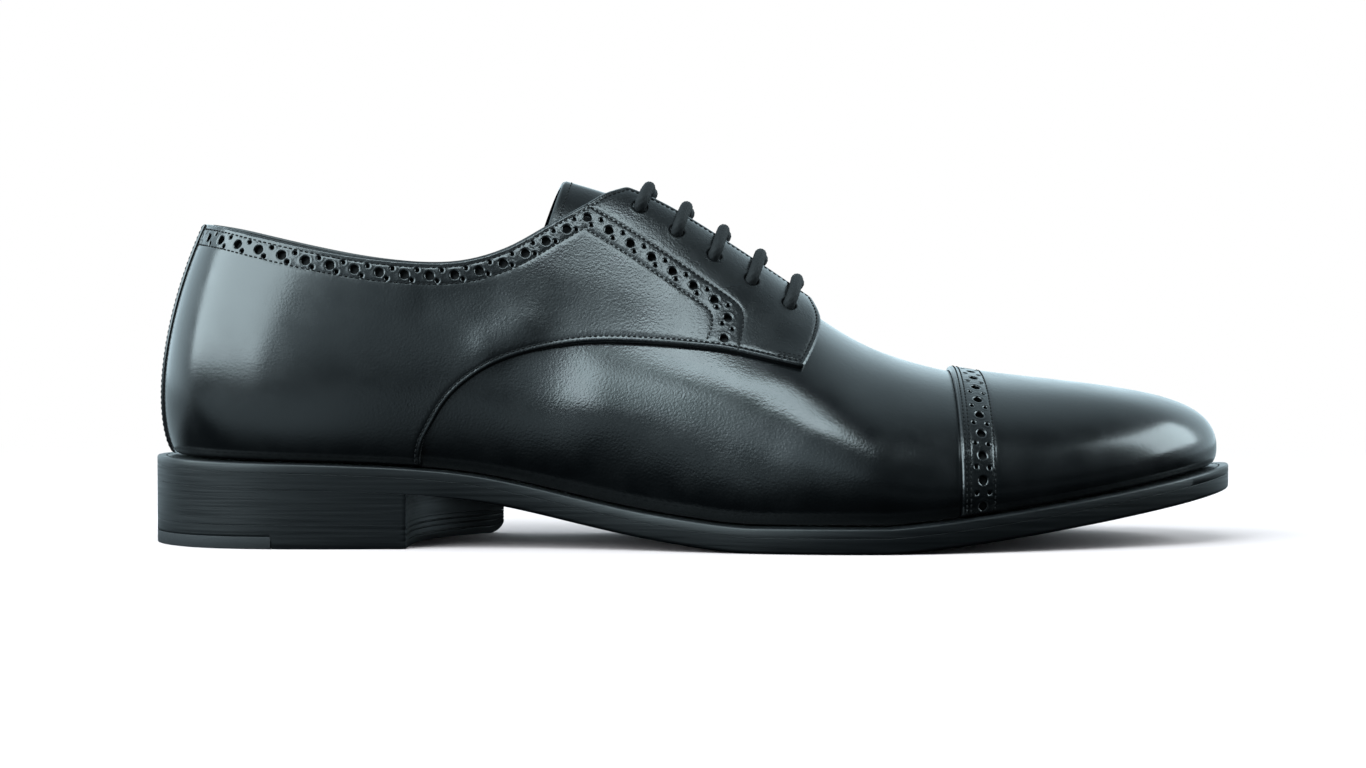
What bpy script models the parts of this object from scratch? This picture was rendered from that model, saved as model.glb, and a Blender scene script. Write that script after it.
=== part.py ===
"""Cap toe lace-up dress shoe for the right foot, built as a shoemaker puts it together.

The shoe stands on its sole with the toe towards +X, the outer side towards -Y and +Z up.
Sizes are in millimetres, measured from the back of the sole (x), the heel's middle line (y)
and the floor (z). MM turns them into metres, and ORIGIN moves them to the middle of the sole.
"""

from collections import namedtuple
import math

import bmesh
import bpy
import numpy as np

MM = 0.001
SHOE = "shoe"  # the empty that all pieces sit on
GAP = 0.3  # clearance kept between pieces that meet
WELD = 0.005  # points closer than this are one

# Sole
SOLE_LENGTH = 306.0
OUTSOLE_THICK = 4.4
WELT_THICK = 2.6
WELT_WIDTH = 13.0
EDGE_CHAMFER = 0.7
INSOLE_THICK = 2.6
INSOLE_INSET = 2.4  # from the upper's seat line to the insole's edge

# Heel
TOP_LIFT_THICK = 6.7
TIP_THICK = 3.4  # rubber tip let into the rear of the top lift
TIP_LENGTH = 36.0
BREAST_OUTER_X = 73.3
BREAST_OUTER_Y = -34.3
BREAST_INNER_Y = 27.4
BREAST_SWEEP = 24.0  # how much further forward the heel runs on the inner side
BREAST_CURVE = 3.2
CORNER_CUT = 4.6  # cut taken off the heel's inner front corner

# Upper
WALL = 1.8  # vamp and lining together
OVERLAY = 1.4  # quarter and toe cap leather
QUARTER_GAP = 0.4
STRIP_THICK = 0.9
STRIP_TURN = 0.26  # half the strip's width, as a turn round the last
FACING_LIFT = 2.4  # the facings stand off the tongue
CAP_LINE_X = 225.5
TONGUE_DROP = 2.1
TONGUE_THICK = 2.0
TONGUE_TUCK = 1.7
TONGUE_TUCK_SPAN = (156.0, 174.0)
THROAT_HALF_GAP = 7.0
VAMP_SLOT_HALF = 13.0
VAMP_SLOT_END = 184.5
VAMP_SLOT_TAPER = 26.0

# Laces
EYELETS = 5
EYELET_FIRST = (137.6, 94.8)  # station and height of the top eyelet on the outer facing
EYELET_LAST = (179.4, 67.5)
EYELET_RADIUS = 2.4
LACE_RADIUS = 1.55
LACE_LEAN = 0.07  # turn by which a bar runs forward between its eyelet and the facing's edge
LACE_CROWN = 0.5  # rise of a bar across the throat
# Share of the way from the eyelet to the facing's edge, and height of the lace over the facing.
LACE_RISE = (
    (0.0, -3.2),
    (0.0, 0.0),
    (0.06, 1.3),
    (0.18, 2.2),
    (0.36, 2.5),
    (0.7, 2.5),
    (1.0, 2.4),
)

# Mesh fineness
COLUMNS_PER_HALF = 33
ROWS = 12
QUARTER_ROWS = 11
SECTION_STEPS = 600  # steps along a section when looking for an edge on it
OUTLINE_STEPS = 64
EYELET_SIDES = 12

# One row for each fan section of the last, from the back of the heel to the tip of the toe.
# outer and inner: the sole's edge on each side; spine_x: where the section reaches the ridge;
# inset: sole edge to the upper's seat; bulge and rise: how the wall leaves the seat;
# crown: how flat the section runs into the ridge.
Section = namedtuple(
    "Section", "outer_x outer_y inner_x inner_y spine_x inset outer_bulge inner_bulge rise crown"
)
SECTIONS = (
    Section(0.0, 0.0, 0.0, 0.0, 38.0, 7.0, 12.0, 12.0, 22.5, 0.59),
    Section(5.5, -18.0, 5.5, 18.0, 40.0, 7.0, 11.5, 11.5, 23.5, 0.61),
    Section(19.0, -30.2, 19.0, 30.0, 45.0, 6.9, 10.5, 11.0, 25.0, 0.69),
    Section(39.0, -34.6, 39.0, 34.0, 53.5, 6.8, 9.5, 11.0, 26.0, 0.74),
    Section(63.0, -34.6, 62.5, 32.2, 68.0, 6.7, 9.5, 12.5, 28.0, 0.74),
    Section(87.5, -33.9, 86.0, 28.6, 88.0, 6.5, 10.5, 15.0, 30.0, 0.64),
    Section(112.0, -35.2, 110.0, 26.4, 111.0, 6.3, 12.0, 17.0, 31.0, 0.47),
    Section(137.0, -40.8, 134.0, 28.2, 135.5, 6.4, 12.0, 16.0, 31.0, 0.37),
    Section(162.0, -48.6, 158.5, 34.6, 160.0, 6.8, 11.0, 13.0, 29.0, 0.37),
    Section(187.0, -53.7, 183.5, 42.4, 184.0, 7.0, 9.5, 10.0, 26.0, 0.44),
    Section(211.0, -53.4, 208.5, 48.2, 206.0, 7.0, 8.0, 8.0, 22.0, 0.50),
    Section(234.0, -47.6, 233.0, 48.8, 224.0, 6.8, 6.5, 6.5, 19.0, 0.55),
    Section(256.5, -39.6, 258.0, 46.0, 236.0, 6.5, 5.3, 5.3, 17.2, 0.59),
    Section(278.5, -29.5, 281.0, 37.2, 243.0, 6.2, 5.0, 5.0, 17.0, 0.635),
    Section(296.5, -15.8, 298.5, 23.4, 246.5, 6.0, 5.2, 5.2, 17.3, 0.67),
    Section(306.0, 4.5, 306.0, 4.5, 247.5, 5.9, 5.6, 5.6, 17.6, 0.69),
)

# Height and sideways place of the ridge. It runs on above the collar, where it is cut away.
Ridge = namedtuple("Ridge", "station height side")
RIDGE = (
    Ridge(38.0, 114.0, 0.0),
    Ridge(70.0, 114.0, 0.0),
    Ridge(95.0, 111.0, 0.0),
    Ridge(116.0, 104.6, 0.0),
    Ridge(136.0, 98.0, 0.0),
    Ridge(157.0, 85.5, -0.3),
    Ridge(180.0, 69.3, -0.3),
    Ridge(197.0, 58.0, 0.0),
    Ridge(212.0, 51.6, 0.6),
    Ridge(230.0, 47.3, 2.0),
    Ridge(247.5, 45.0, 3.8),
)

# Height of the outsole's underside: heel seat, arch, flat tread and toe spring.
Tread = namedtuple("Tread", "station height")
TREAD = (
    Tread(0.0, 17.6),
    Tread(36.0, 16.6),
    Tread(73.0, 15.2),
    Tread(88.0, 13.8),
    Tread(101.0, 11.6),
    Tread(122.0, 6.9),
    Tread(136.0, 4.0),
    Tread(150.0, 1.8),
    Tread(163.0, 0.3),
    Tread(178.0, -0.3),
    Tread(200.0, -0.3),
    Tread(223.0, 1.6),
    Tread(251.0, 5.3),
    Tread(281.0, 10.2),
    Tread(306.0, 14.8),
)

# Edges read from the side, each a line of stations and heights.
Edge = namedtuple("Edge", "station height")
COLLAR_EDGE = (
    Edge(-12.0, 91.6),
    Edge(13.4, 90.2),
    Edge(29.0, 87.2),
    Edge(46.0, 83.3),
    Edge(63.0, 80.4),
    Edge(79.5, 79.2),
    Edge(91.0, 80.2),
    Edge(101.5, 83.7),
    Edge(111.5, 89.4),
    Edge(123.6, 96.4),
    Edge(128.6, 99.2),
    Edge(136.5, 101.6),
)
VAMP_EDGE = (
    Edge(76.0, 14.0),
    Edge(77.3, 26.7),
    Edge(79.5, 32.4),
    Edge(83.5, 39.4),
    Edge(89.5, 45.8),
    Edge(99.3, 51.6),
    Edge(113.0, 55.7),
    Edge(130.0, 57.4),
    Edge(154.4, 56.0),
    Edge(168.4, 53.6),
    Edge(182.8, 50.2),
)
FACING_FRONT = (
    Edge(182.8, 50.2),
    Edge(186.2, 56.0),
    Edge(188.4, 62.4),
    Edge(187.4, 67.0),
    Edge(184.4, 71.6),
    Edge(179.0, 77.0),
)
TONGUE_TOP_X = 116.6
TONGUE_ROUND = 9.0  # how far the tongue's upper edge falls back towards its wings
TONGUE_FRONT_X = 188.0
TONGUE_WING = (0.55, 0.68)  # lowest share of the section that the tongue reaches, top and front
TONGUE_COLUMNS = 14
TONGUE_ROWS = 11
FACING_SPAN = (100.0, 116.0)  # stations over which the facings rise off the tongue
FACING_ROWS = (0.55, 0.85)  # share of the section's height over which they rise
THROAT_FROM = 101.5  # station behind which the opening is the collar only
COLLAR_PAST = 140.0  # collar height in front of its last row, where the throat takes over
VAMP_CLIMB = (4.35, 5.3)  # turns between which the vamp's edge climbs off the welt
QUARTER_END = 9.0  # turn of the facing's front edge
FRONT_SHEAR = 2.2  # turns over which columns lean into that edge
CAP_SEARCH = 9.0  # turn from which the cap's rear edge is looked for
FACING_TRIES = 18  # steps taken to find a place on the facing
SEAT_SHARE = 0.12  # lowest share of a section, where pieces are offset level with the welt

HALF = len(SECTIONS) - 1
LOOP = 2 * HALF
FINE = 1e-3


def natural_slopes(places, values):
    """Slopes of the smooth curve through values at rising places, straight at both ends."""
    count = len(places)
    steps = np.diff(places)
    rises = np.diff(values) / steps
    matrix = np.zeros((count, count))
    right = np.zeros(count)
    matrix[0, :2] = 2, 1
    right[0] = 3 * rises[0]
    matrix[-1, -2:] = 1, 2
    right[-1] = 3 * rises[-1]
    for i in range(1, count - 1):
        matrix[i, i - 1 : i + 2] = steps[i], 2 * (steps[i - 1] + steps[i]), steps[i - 1]
        right[i] = 3 * (steps[i] * rises[i - 1] + steps[i - 1] * rises[i])
    return np.linalg.solve(matrix, right)


def closed_slopes(values):
    """Slopes of the smooth closed curve through values one step apart."""
    count = len(values)
    matrix = 4 * np.eye(count) + np.roll(np.eye(count), 1, 1) + np.roll(np.eye(count), -1, 1)
    return np.linalg.solve(matrix, 3 * (np.roll(values, -1) - np.roll(values, 1)))


def hermite(share, step, start, end, start_slope, end_slope):
    """Value and slope between two knots, at a share of the step from the first to the second."""
    rise = end - start
    bend_a = 3 * rise - step * (2 * start_slope + end_slope)
    bend_b = step * (start_slope + end_slope) - 2 * rise
    value = start + share * (step * start_slope + share * (bend_a + share * bend_b))
    slope = (step * start_slope + share * (2 * bend_a + 3 * share * bend_b)) / step
    return value, slope


class Curve:
    """A smooth value along rising places, with straight ends."""

    def __init__(self, places, values):
        self.places = np.array(places, float)
        self.values = np.array(values, float)
        self.slopes = natural_slopes(self.places, self.values)

    def __call__(self, place):
        place = np.asarray(place, float)
        inside = np.clip(place, self.places[0], self.places[-1])
        i = np.clip(np.searchsorted(self.places, inside) - 1, 0, len(self.places) - 2)
        step = self.places[i + 1] - self.places[i]
        value, slope = hermite(
            (inside - self.places[i]) / step,
            step,
            self.values[i],
            self.values[i + 1],
            self.slopes[i],
            self.slopes[i + 1],
        )
        return value + (place - inside) * slope, slope


class Round:
    """A smooth value around the shoe: up the outer side to the toe and back along the inner side."""

    def __init__(self, outer, inner):
        self.values = np.array([*outer, *inner[-2:0:-1]], float)
        self.slopes = closed_slopes(self.values)

    def __call__(self, turn):
        turn = np.asarray(turn, float) % LOOP
        i = np.minimum(turn.astype(int), LOOP - 1)
        j = (i + 1) % LOOP
        return hermite(
            turn - i, 1.0, self.values[i], self.values[j], self.slopes[i], self.slopes[j]
        )


def column(name):
    return [getattr(section, name) for section in SECTIONS]


EDGE_X = Round(column("outer_x"), column("inner_x"))
EDGE_Y = Round(column("outer_y"), column("inner_y"))
SPINE_X = Round(column("spine_x"), column("spine_x"))
INSET = Round(column("inset"), column("inset"))
BULGE = Round(column("outer_bulge"), column("inner_bulge"))
RISE = Round(column("rise"), column("rise"))
CROWN = Round(column("crown"), column("crown"))
RIDGE_Z = Curve([r.station for r in RIDGE], [r.height for r in RIDGE])
RIDGE_Y = Curve([r.station for r in RIDGE], [r.side for r in RIDGE])
TREAD_Z = Curve([t.station for t in TREAD], [t.height for t in TREAD])


def tread_height(station):
    """Underside of the outsole, flat on the floor under the ball of the foot."""
    return np.maximum(TREAD_Z(station)[0], 0.0)


def outsole_top(station):
    return tread_height(station) + OUTSOLE_THICK


def welt_top(station):
    return outsole_top(station) + GAP + WELT_THICK


def sole_edge(turn, inset=0.0):
    """Points around the sole's edge seen from above, moved in by an inset."""
    x, dx = EDGE_X(turn)
    y, dy = EDGE_Y(turn)
    size = np.hypot(dx, dy)
    return x - inset * dy / size, y + inset * dx / size


def last_surface(turn, share):
    """The upper's outer face: around the shoe by turn, and from seat to ridge by share."""
    turn, share = np.broadcast_arrays(np.asarray(turn, float), np.asarray(share, float))
    seat_x, seat_y = sole_edge(turn, INSET(turn)[0])
    seat_z = welt_top(seat_x) + GAP
    ridge_x = SPINE_X(turn)[0]
    ridge_y = RIDGE_Y(ridge_x)[0]
    ridge_z, ridge_slope = RIDGE_Z(ridge_x)
    reach_x, reach_y = seat_x - ridge_x, seat_y - ridge_y
    reach = np.hypot(reach_x, reach_y)
    bulge = BULGE(turn)[0] / reach
    crown = CROWN(turn)[0]
    seat = np.stack([seat_x, seat_y, seat_z], -1)
    side = np.stack(
        [seat_x + bulge * reach_x, seat_y + bulge * reach_y, seat_z + RISE(turn)[0]], -1
    )
    top = np.stack(
        [
            ridge_x + crown * reach_x,
            ridge_y + crown * reach_y,
            ridge_z + ridge_slope * crown * reach_x,
        ],
        -1,
    )
    ridge = np.stack([ridge_x, ridge_y, ridge_z], -1)
    t = share[..., None]
    return (
        (1 - t) ** 3 * seat + 3 * (1 - t) ** 2 * t * side + 3 * (1 - t) * t**2 * top + t**3 * ridge
    )


def last_normal(turn, share):
    """Outward direction of the last's surface, level at the seat so that edges stay on the welt."""
    share = np.clip(np.asarray(share, float), FINE, 1 - 2 * FINE)
    along = last_surface(turn + FINE, share) - last_surface(turn - FINE, share)
    up = last_surface(turn, share + FINE) - last_surface(turn, share - FINE)
    out = np.cross(along, up)
    out /= np.linalg.norm(out, axis=-1, keepdims=True)
    out[..., 2] *= np.clip(share / SEAT_SHARE, 0, 1)
    return out / np.linalg.norm(out, axis=-1, keepdims=True)


def smooth(value, low, high):
    share = np.clip((value - low) / (high - low), 0, 1)
    return share * share * (3 - 2 * share)


def facing_lift(turn, share):
    """How far the facings rise off the tongue, growing towards the throat."""
    station = SPINE_X(turn)[0]
    return FACING_LIFT * smooth(station, *FACING_SPAN) * smooth(share, *FACING_ROWS)


def offset_surface(turn, share, offset):
    """Points at an offset from the last, with lower edges following the slope of the welt."""
    base = last_surface(turn, share)
    points = base + last_normal(turn, share) * np.asarray(offset)[..., None]
    near_seat = np.clip(1 - np.asarray(share) / SEAT_SHARE, 0, 1)
    points[..., 2] += near_seat * (welt_top(points[..., 0]) - welt_top(base[..., 0]))
    return points


EDGE_LOOP = sole_edge(np.arange(0, LOOP, 0.02))
ORIGIN = np.array([SOLE_LENGTH / 2, (EDGE_LOOP[1].min() + EDGE_LOOP[1].max()) / 2, 0.0])


def finish(name, color, roughness):
    """A plain material of one colour."""
    made = bpy.data.materials.new(name)
    made.use_nodes = True
    shader = made.node_tree.nodes["Principled BSDF"]
    shader.inputs["Base Color"].default_value = (*color, 1.0)
    shader.inputs["Roughness"].default_value = roughness
    shader.inputs["Metallic"].default_value = 0.0
    return made


def new_object(name, points, faces, material=None):
    """An object from points in millimetres, on the shoe's empty, with its faces turned outwards."""
    mesh = bpy.data.meshes.new(name)
    mesh.from_pydata([tuple(np.array(p) * MM) for p in points], [], faces)
    work = bmesh.new()
    work.from_mesh(mesh)
    bmesh.ops.remove_doubles(work, verts=work.verts, dist=WELD * MM)
    bmesh.ops.recalc_face_normals(work, faces=work.faces)
    work.to_mesh(mesh)
    work.free()
    made = bpy.data.objects.new(name, mesh)
    made.parent = bpy.data.objects[SHOE]
    bpy.context.scene.collection.objects.link(made)
    if material:
        mesh.materials.append(material)
        mesh.shade_smooth()
        mesh.set_sharp_from_angle(angle=math.radians(35))
    return made


def cutter(name, points, faces):
    made = new_object(name, points, faces)
    made.hide_render = True
    made.display_type = "WIRE"
    return made


def prism(name, outline, low, high, axis):
    """A cutter with an outline in the two other axes, drawn out from low to high along an axis."""
    count = len(outline)
    points = [np.insert(np.array(p, float), axis, level) for level in (low, high) for p in outline]
    sides = [(i, (i + 1) % count, count + (i + 1) % count, count + i) for i in range(count)]
    return cutter(name, points, [tuple(range(count)), tuple(range(count, 2 * count)), *sides])


def cut(made, tool, operation):
    modifier = made.modifiers.new(f"{operation.lower()} {tool.name}", "BOOLEAN")
    modifier.operation = operation
    modifier.object = tool
    modifier.solver = "EXACT"


def edge_line(edges, steps):
    """Points along a smooth curve through an edge's rows."""
    knots = np.arange(len(edges))
    places = np.linspace(0, len(edges) - 1, steps)
    stations = Curve(knots, [e.station for e in edges])(places)[0]
    heights = Curve(knots, [e.height for e in edges])(places)[0]
    return list(zip(stations, heights))


COLLAR_LINE = np.transpose(edge_line(COLLAR_EDGE, 120))
VAMP_LINE = np.transpose(edge_line(VAMP_EDGE, 120))


def half_turns():
    return np.linspace(0, HALF, COLUMNS_PER_HALF + 1)


def shell(name, inner, outer, top, material):
    """The last's form between two offsets, open underneath and above each column's top share.

    A column whose top share is 1 is closed: both sides of the shoe meet there on the ridge.
    """
    half = half_turns()
    turns = np.concatenate([half, LOOP - half[-2:0:-1]])
    tops = np.array([top(turn) for turn in turns])
    columns = len(turns)
    grid_turn = np.repeat(turns[:, None], ROWS + 1, axis=1)
    grid_share = tops[:, None] * np.linspace(0, 1, ROWS + 1)
    size = columns * (ROWS + 1)
    points = []
    for offset in (outer, inner):
        grid = offset_surface(grid_turn, grid_share, np.full(grid_turn.shape, float(offset)))
        for j in range(1, COLUMNS_PER_HALF):
            if tops[j] == 1:
                grid[j, -1] = grid[-j, -1] = (grid[j, -1] + grid[-j, -1]) / 2
        points.extend(grid.reshape(-1, 3))

    def corner(face, j, i):
        j %= columns
        if i == ROWS and tops[j] == 1:
            j = min(j, columns - j)
        return face * size + j * (ROWS + 1) + i

    faces = []
    for j in range(columns):
        for i in range(ROWS):
            ring = ((j, i), (j + 1, i), (j + 1, i + 1), (j, i + 1))
            faces.append(tuple(corner(0, *c) for c in ring))
            faces.append(tuple(corner(1, *c) for c in reversed(ring)))
        faces.append(rim_face(corner, j, 0)[::-1])
        if min(tops[j], tops[(j + 1) % columns]) < 1:
            faces.append(rim_face(corner, j, ROWS))
    return new_object(name, points, faces, material)


def rim_face(corner, j, i):
    """Joins the outer and inner faces of a shell along one step of an open edge."""
    return corner(0, j, i), corner(0, j + 1, i), corner(1, j + 1, i), corner(1, j, i)


def plate(name, turn_count, rings, material):
    """A closed plate from rings of points around the shoe, capped by strips from side to side."""
    turns = np.arange(turn_count) * LOOP / turn_count
    points, starts = [], []
    for inset, height in rings:
        starts.append(len(points))
        x, y = sole_edge(turns, inset(turns))
        points.extend(np.stack([x, y, height(x)], -1))
    faces = []
    for low, high in zip(starts[:-1], starts[1:]):
        for j in range(turn_count):
            k = (j + 1) % turn_count
            faces.append((low + j, low + k, high + k, high + j))
    for start in (starts[0], starts[-1]):
        faces.extend(strip_cap(start, turn_count))
    return new_object(name, points, faces, material)


def strip_cap(start, count):
    """Faces that close a ring by joining each point of one side to its mate on the other."""
    half = count // 2
    faces = [(start, start + 1, start + count - 1)]
    faces += [
        (start + j, start + j + 1, start + count - j - 1, start + count - j)
        for j in range(1, half - 1)
    ]
    return [*faces, (start + half - 1, start + half, start + half + 1)]


def constant(value):
    return lambda turns: np.full(np.shape(turns), float(value))


def make_outsole(material):
    return plate(
        "outsole",
        OUTLINE_STEPS,
        (
            (constant(EDGE_CHAMFER), tread_height),
            (constant(0), lambda x: tread_height(x) + EDGE_CHAMFER),
            (constant(0), outsole_top),
        ),
        material,
    )


def make_welt(material):
    """A strip that runs right round on top of the outsole."""
    turns = np.arange(OUTLINE_STEPS) * LOOP / OUTLINE_STEPS
    corners = (
        (0.0, GAP),
        (0.0, GAP + WELT_THICK - EDGE_CHAMFER),
        (EDGE_CHAMFER, GAP + WELT_THICK),
        (WELT_WIDTH, GAP + WELT_THICK),
        (WELT_WIDTH, GAP),
    )
    points = []
    for inset, rise in corners:
        x, y = sole_edge(turns, constant(inset)(turns))
        points.extend(np.stack([x, y, outsole_top(x) + rise], -1))
    faces = []
    for ring in range(len(corners)):
        after = (ring + 1) % len(corners)
        for j in range(OUTLINE_STEPS):
            k = (j + 1) % OUTLINE_STEPS
            low, high = ring * OUTLINE_STEPS, after * OUTLINE_STEPS
            faces.append((low + j, low + k, high + k, high + j))
    return new_object("welt", points, faces, material)


def make_insole(material):
    def inset(turns):
        return INSET(turns)[0] + INSOLE_INSET

    def low(x):
        return welt_top(x) + GAP

    def high(x):
        return low(x) + INSOLE_THICK

    return plate("insole", OUTLINE_STEPS, ((inset, low), (inset, high)), material)


def breast_station(y):
    """Front of the heel across the shoe: straight on the outer side, swept forward on the inner."""
    share = np.clip((y - BREAST_OUTER_Y) / (BREAST_INNER_Y - BREAST_OUTER_Y), 0, 1.2)
    return BREAST_OUTER_X + BREAST_SWEEP * share**BREAST_CURVE


def heel_outline(front):
    """The sole's edge round the heel, closed by a front line given as a station for each y."""
    turns = np.linspace(0, HALF, OUTLINE_STEPS * 2)
    outer = [p for p in zip(*sole_edge(turns)) if p[0] < front(p[1])]
    inner = [p for p in zip(*sole_edge(LOOP - turns)) if p[0] < front(p[1])]
    across = np.linspace(outer[-1][1], inner[-1][1], 14)
    line = [(front(y), y) for y in across]
    return [*outer[::-2], *inner[2::2], *line[::-1]]


def block(name, outline, low, high, material):
    """A solid with an outline seen from above, between a low and a high surface."""
    count = len(outline)
    points = [(x, y, low(x)) for x, y in outline] + [(x, y, high(x)) for x, y in outline]
    sides = [(i, (i + 1) % count, count + (i + 1) % count, count + i) for i in range(count)]
    return new_object(
        name, points, [tuple(range(count)), tuple(range(count, 2 * count)), *sides], material
    )


def make_heel(leather, rubber):
    """Heel stack, top lift and the rubber tip let into the lift's rear."""
    outline = heel_outline(breast_station)
    stack = block(
        "heel_stack",
        outline,
        constant(TOP_LIFT_THICK + GAP),
        lambda x: tread_height(x) - GAP,
        leather,
    )
    lift = block("top_lift", outline, constant(0), constant(TOP_LIFT_THICK), leather)
    rear = ((-5, -60), (TIP_LENGTH + GAP, -60), (TIP_LENGTH + GAP, 60), (-5, 60))
    cut(lift, prism("tip_seat", rear, -5, TIP_THICK + GAP, 2), "DIFFERENCE")
    tip_outline = heel_outline(lambda y: TIP_LENGTH + 0 * y)
    tip = block("heel_tip", tip_outline, constant(0), constant(TIP_THICK), rubber)
    end = BREAST_OUTER_X + BREAST_SWEEP
    corner = (
        (end - CORNER_CUT, -1),
        (end + 2, CORNER_CUT + 2),
        (end + 2, -1),
    )
    cut(lift, prism("corner_cut", corner, 10, 60, 1), "DIFFERENCE")
    return stack, lift, tip


def section_line(turn, outer_offset):
    """Shares from seat to ridge, and the points of one section at an offset function."""
    shares = np.linspace(0, 1, SECTION_STEPS)
    turns = np.full(SECTION_STEPS, float(turn))
    return shares, offset_surface(turns, shares, outer_offset(turns, shares))


def share_below(shares, above):
    """The share where a test along a section first holds, or 1 where it never does."""
    return float(shares[np.argmax(above)]) if above.any() else 1.0


def collar_share(turn, offset):
    """Share at which a section reaches the collar line."""
    shares, points = section_line(turn, offset)
    height = np.interp(points[:, 0], *COLLAR_LINE, right=COLLAR_PAST)
    return share_below(shares, points[:, 2] > height)


def gap_share(turn, offset, half_gap):
    """Share at which a section comes within half a gap of the shoe's middle line."""
    shares, points = section_line(turn, offset)
    return share_below(shares, (np.abs(points[:, 1]) < half_gap) & (shares > 0.5))


def vamp_share(turn, offset):
    """Share at which a section leaves the vamp's edge and comes under the quarter."""
    shares, points = section_line(turn, offset)
    height = np.interp(points[:, 0], *VAMP_LINE, left=0.0)
    return share_below(shares, points[:, 2] > height)


def no_offset(turn, share):
    return np.zeros(np.shape(turn))


def upper_top(turn):
    """Top share of the vamp and lining: the collar, then the throat, then closed on the ridge."""
    if SPINE_X(turn)[0] > VAMP_SLOT_END:
        return 1.0
    collar = collar_share(turn, no_offset)
    if SPINE_X(turn)[0] < THROAT_FROM:
        return collar
    taper = (VAMP_SLOT_END - SPINE_X(turn)[0]) / VAMP_SLOT_TAPER
    return min(collar, gap_share(turn, no_offset, VAMP_SLOT_HALF * min(1.0, taper)))


def make_upper(material):
    """Vamp and lining as one hollow wall, open at the collar, along the throat and underneath."""
    return shell("upper", -WALL, 0.0, upper_top, material)


def eyelet_places():
    """Stations and heights of the eyelets on the outer facing, top to bottom."""
    first, last = np.array(EYELET_FIRST), np.array(EYELET_LAST)
    return [first + (last - first) * i / (EYELETS - 1) for i in range(EYELETS)]


def quarter_offsets(turn, share):
    lift = facing_lift(turn, share)
    return QUARTER_GAP + lift, QUARTER_GAP + OVERLAY + lift


def on_facing(place, inner_side):
    """Turn and share where the facing passes a station and a height, found by stepping closer."""
    turn = LOOP - 7.6 if inner_side else 7.6
    share = 0.75

    def miss(t, s):
        point = offset_surface(np.array(t), np.array(s), quarter_offsets(t, s)[1])
        return np.array([point[0] - place[0], point[2] - place[1]])

    for _ in range(FACING_TRIES):
        now = miss(turn, share)
        by_turn = (miss(turn + FINE, share) - now) / FINE
        by_share = (miss(turn, share + FINE) - now) / FINE
        step = np.linalg.solve(np.stack([by_turn, by_share], 1), now)
        turn -= float(np.clip(step[0], -0.5, 0.5))
        share = float(np.clip(share - np.clip(step[1], -0.1, 0.1), 0.3, 0.97))
    return turn, share


def inner_skin(turn, share):
    return quarter_offsets(turn, share)[0]


def outer_skin(turn, share):
    return quarter_offsets(turn, share)[1]


def quarter_top(turn):
    """Top share of a quarter: the collar, or the throat where that comes first."""
    collar = collar_share(turn, outer_skin)
    if SPINE_X(turn)[0] < THROAT_FROM:
        return collar
    return min(collar, gap_share(turn, outer_skin, THROAT_HALF_GAP))


def front_edge(side):
    """Shares and turns along the facing's front edge."""
    places = [on_facing(place, side < 0) for place in edge_line(FACING_FRONT, 9)]
    return [share for _, share in places], [LOOP - t if side < 0 else t for t, _ in places]


def quarter_columns():
    """Turns of the quarter's columns on one side, closer together where the vamp's edge climbs."""
    columns = half_turns()
    heel = columns[columns < VAMP_CLIMB[0] - 0.1]
    climb = np.linspace(*VAMP_CLIMB, 10)
    return np.concatenate([heel, climb, np.linspace(VAMP_CLIMB[1], QUARTER_END, 12)[1:]])


def make_quarters(material):
    """Both quarters and their facings, laid over the vamp and joined round the heel."""
    turns, shares = [], []
    rows = np.linspace(0, 1, QUARTER_ROWS)
    for side in (-1, 1):
        half_turn_rows, half_share_rows = [], []
        front = front_edge(side)
        for turn in quarter_columns():
            low = vamp_share(side * turn, outer_skin)
            ups = low + (quarter_top(side * turn) - low) * rows
            pull = smooth(turn, QUARTER_END - FRONT_SHEAR, QUARTER_END)
            half_turn_rows.append(side * (turn + pull * (np.interp(ups, *front) - QUARTER_END)))
            half_share_rows.append(ups)
        turns.append(np.array(half_turn_rows))
        shares.append(np.array(half_share_rows))
    turns = np.concatenate([turns[0][:0:-1], turns[1]])
    shares = np.concatenate([shares[0][:0:-1], shares[1]])
    made = patch("quarters", turns, shares, inner_skin, outer_skin, material)
    points, faces = [], []
    for place in eyelet_places():
        for inner_side in (False, True):
            turn, share = on_facing(place, inner_side)
            centre = offset_surface(np.array(turn), np.array(share), outer_skin(turn, share))
            add_tube(points, faces, eyelet_axis(turn, share, centre), EYELET_RADIUS, EYELET_SIDES)
    cut(made, cutter("eyelet_punch", points, faces), "DIFFERENCE")
    return made


def eyelet_axis(turn, share, centre):
    out = last_normal(np.array(turn), np.array(share))
    return [centre - 5 * out, centre + 5 * out]


def add_tube(points, faces, path, radius, sides):
    """Adds a closed round tube along a path to lists of points and faces."""
    path = np.array(path, float)
    start = len(points)
    along = np.gradient(path, axis=0)
    along /= np.linalg.norm(along, axis=1, keepdims=True)
    side = np.cross(along[0], (1.0, 0.0, 0.0))
    for point, ahead in zip(path, along):
        side = side - ahead * (side @ ahead)
        side /= np.linalg.norm(side)
        up = np.cross(ahead, side)
        for k in range(sides):
            angle = 2 * math.pi * k / sides
            points.append(point + radius * (math.cos(angle) * side + math.sin(angle) * up))
    for i in range(len(path) - 1):
        for k in range(sides):
            a, b = start + i * sides + k, start + i * sides + (k + 1) % sides
            faces.append((a, b, b + sides, a + sides))
    faces.append(tuple(start + k for k in range(sides)))
    faces.append(tuple(start + (len(path) - 1) * sides + k for k in range(sides)))


def cap_turn(side, share):
    """Turn at which the toe cap's rear edge crosses a share."""
    turns = np.linspace(CAP_SEARCH, HALF, SECTION_STEPS)
    stations = last_surface(side * turns, np.full(SECTION_STEPS, share))[:, 0]
    return np.interp(CAP_LINE_X, stations, turns)


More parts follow.
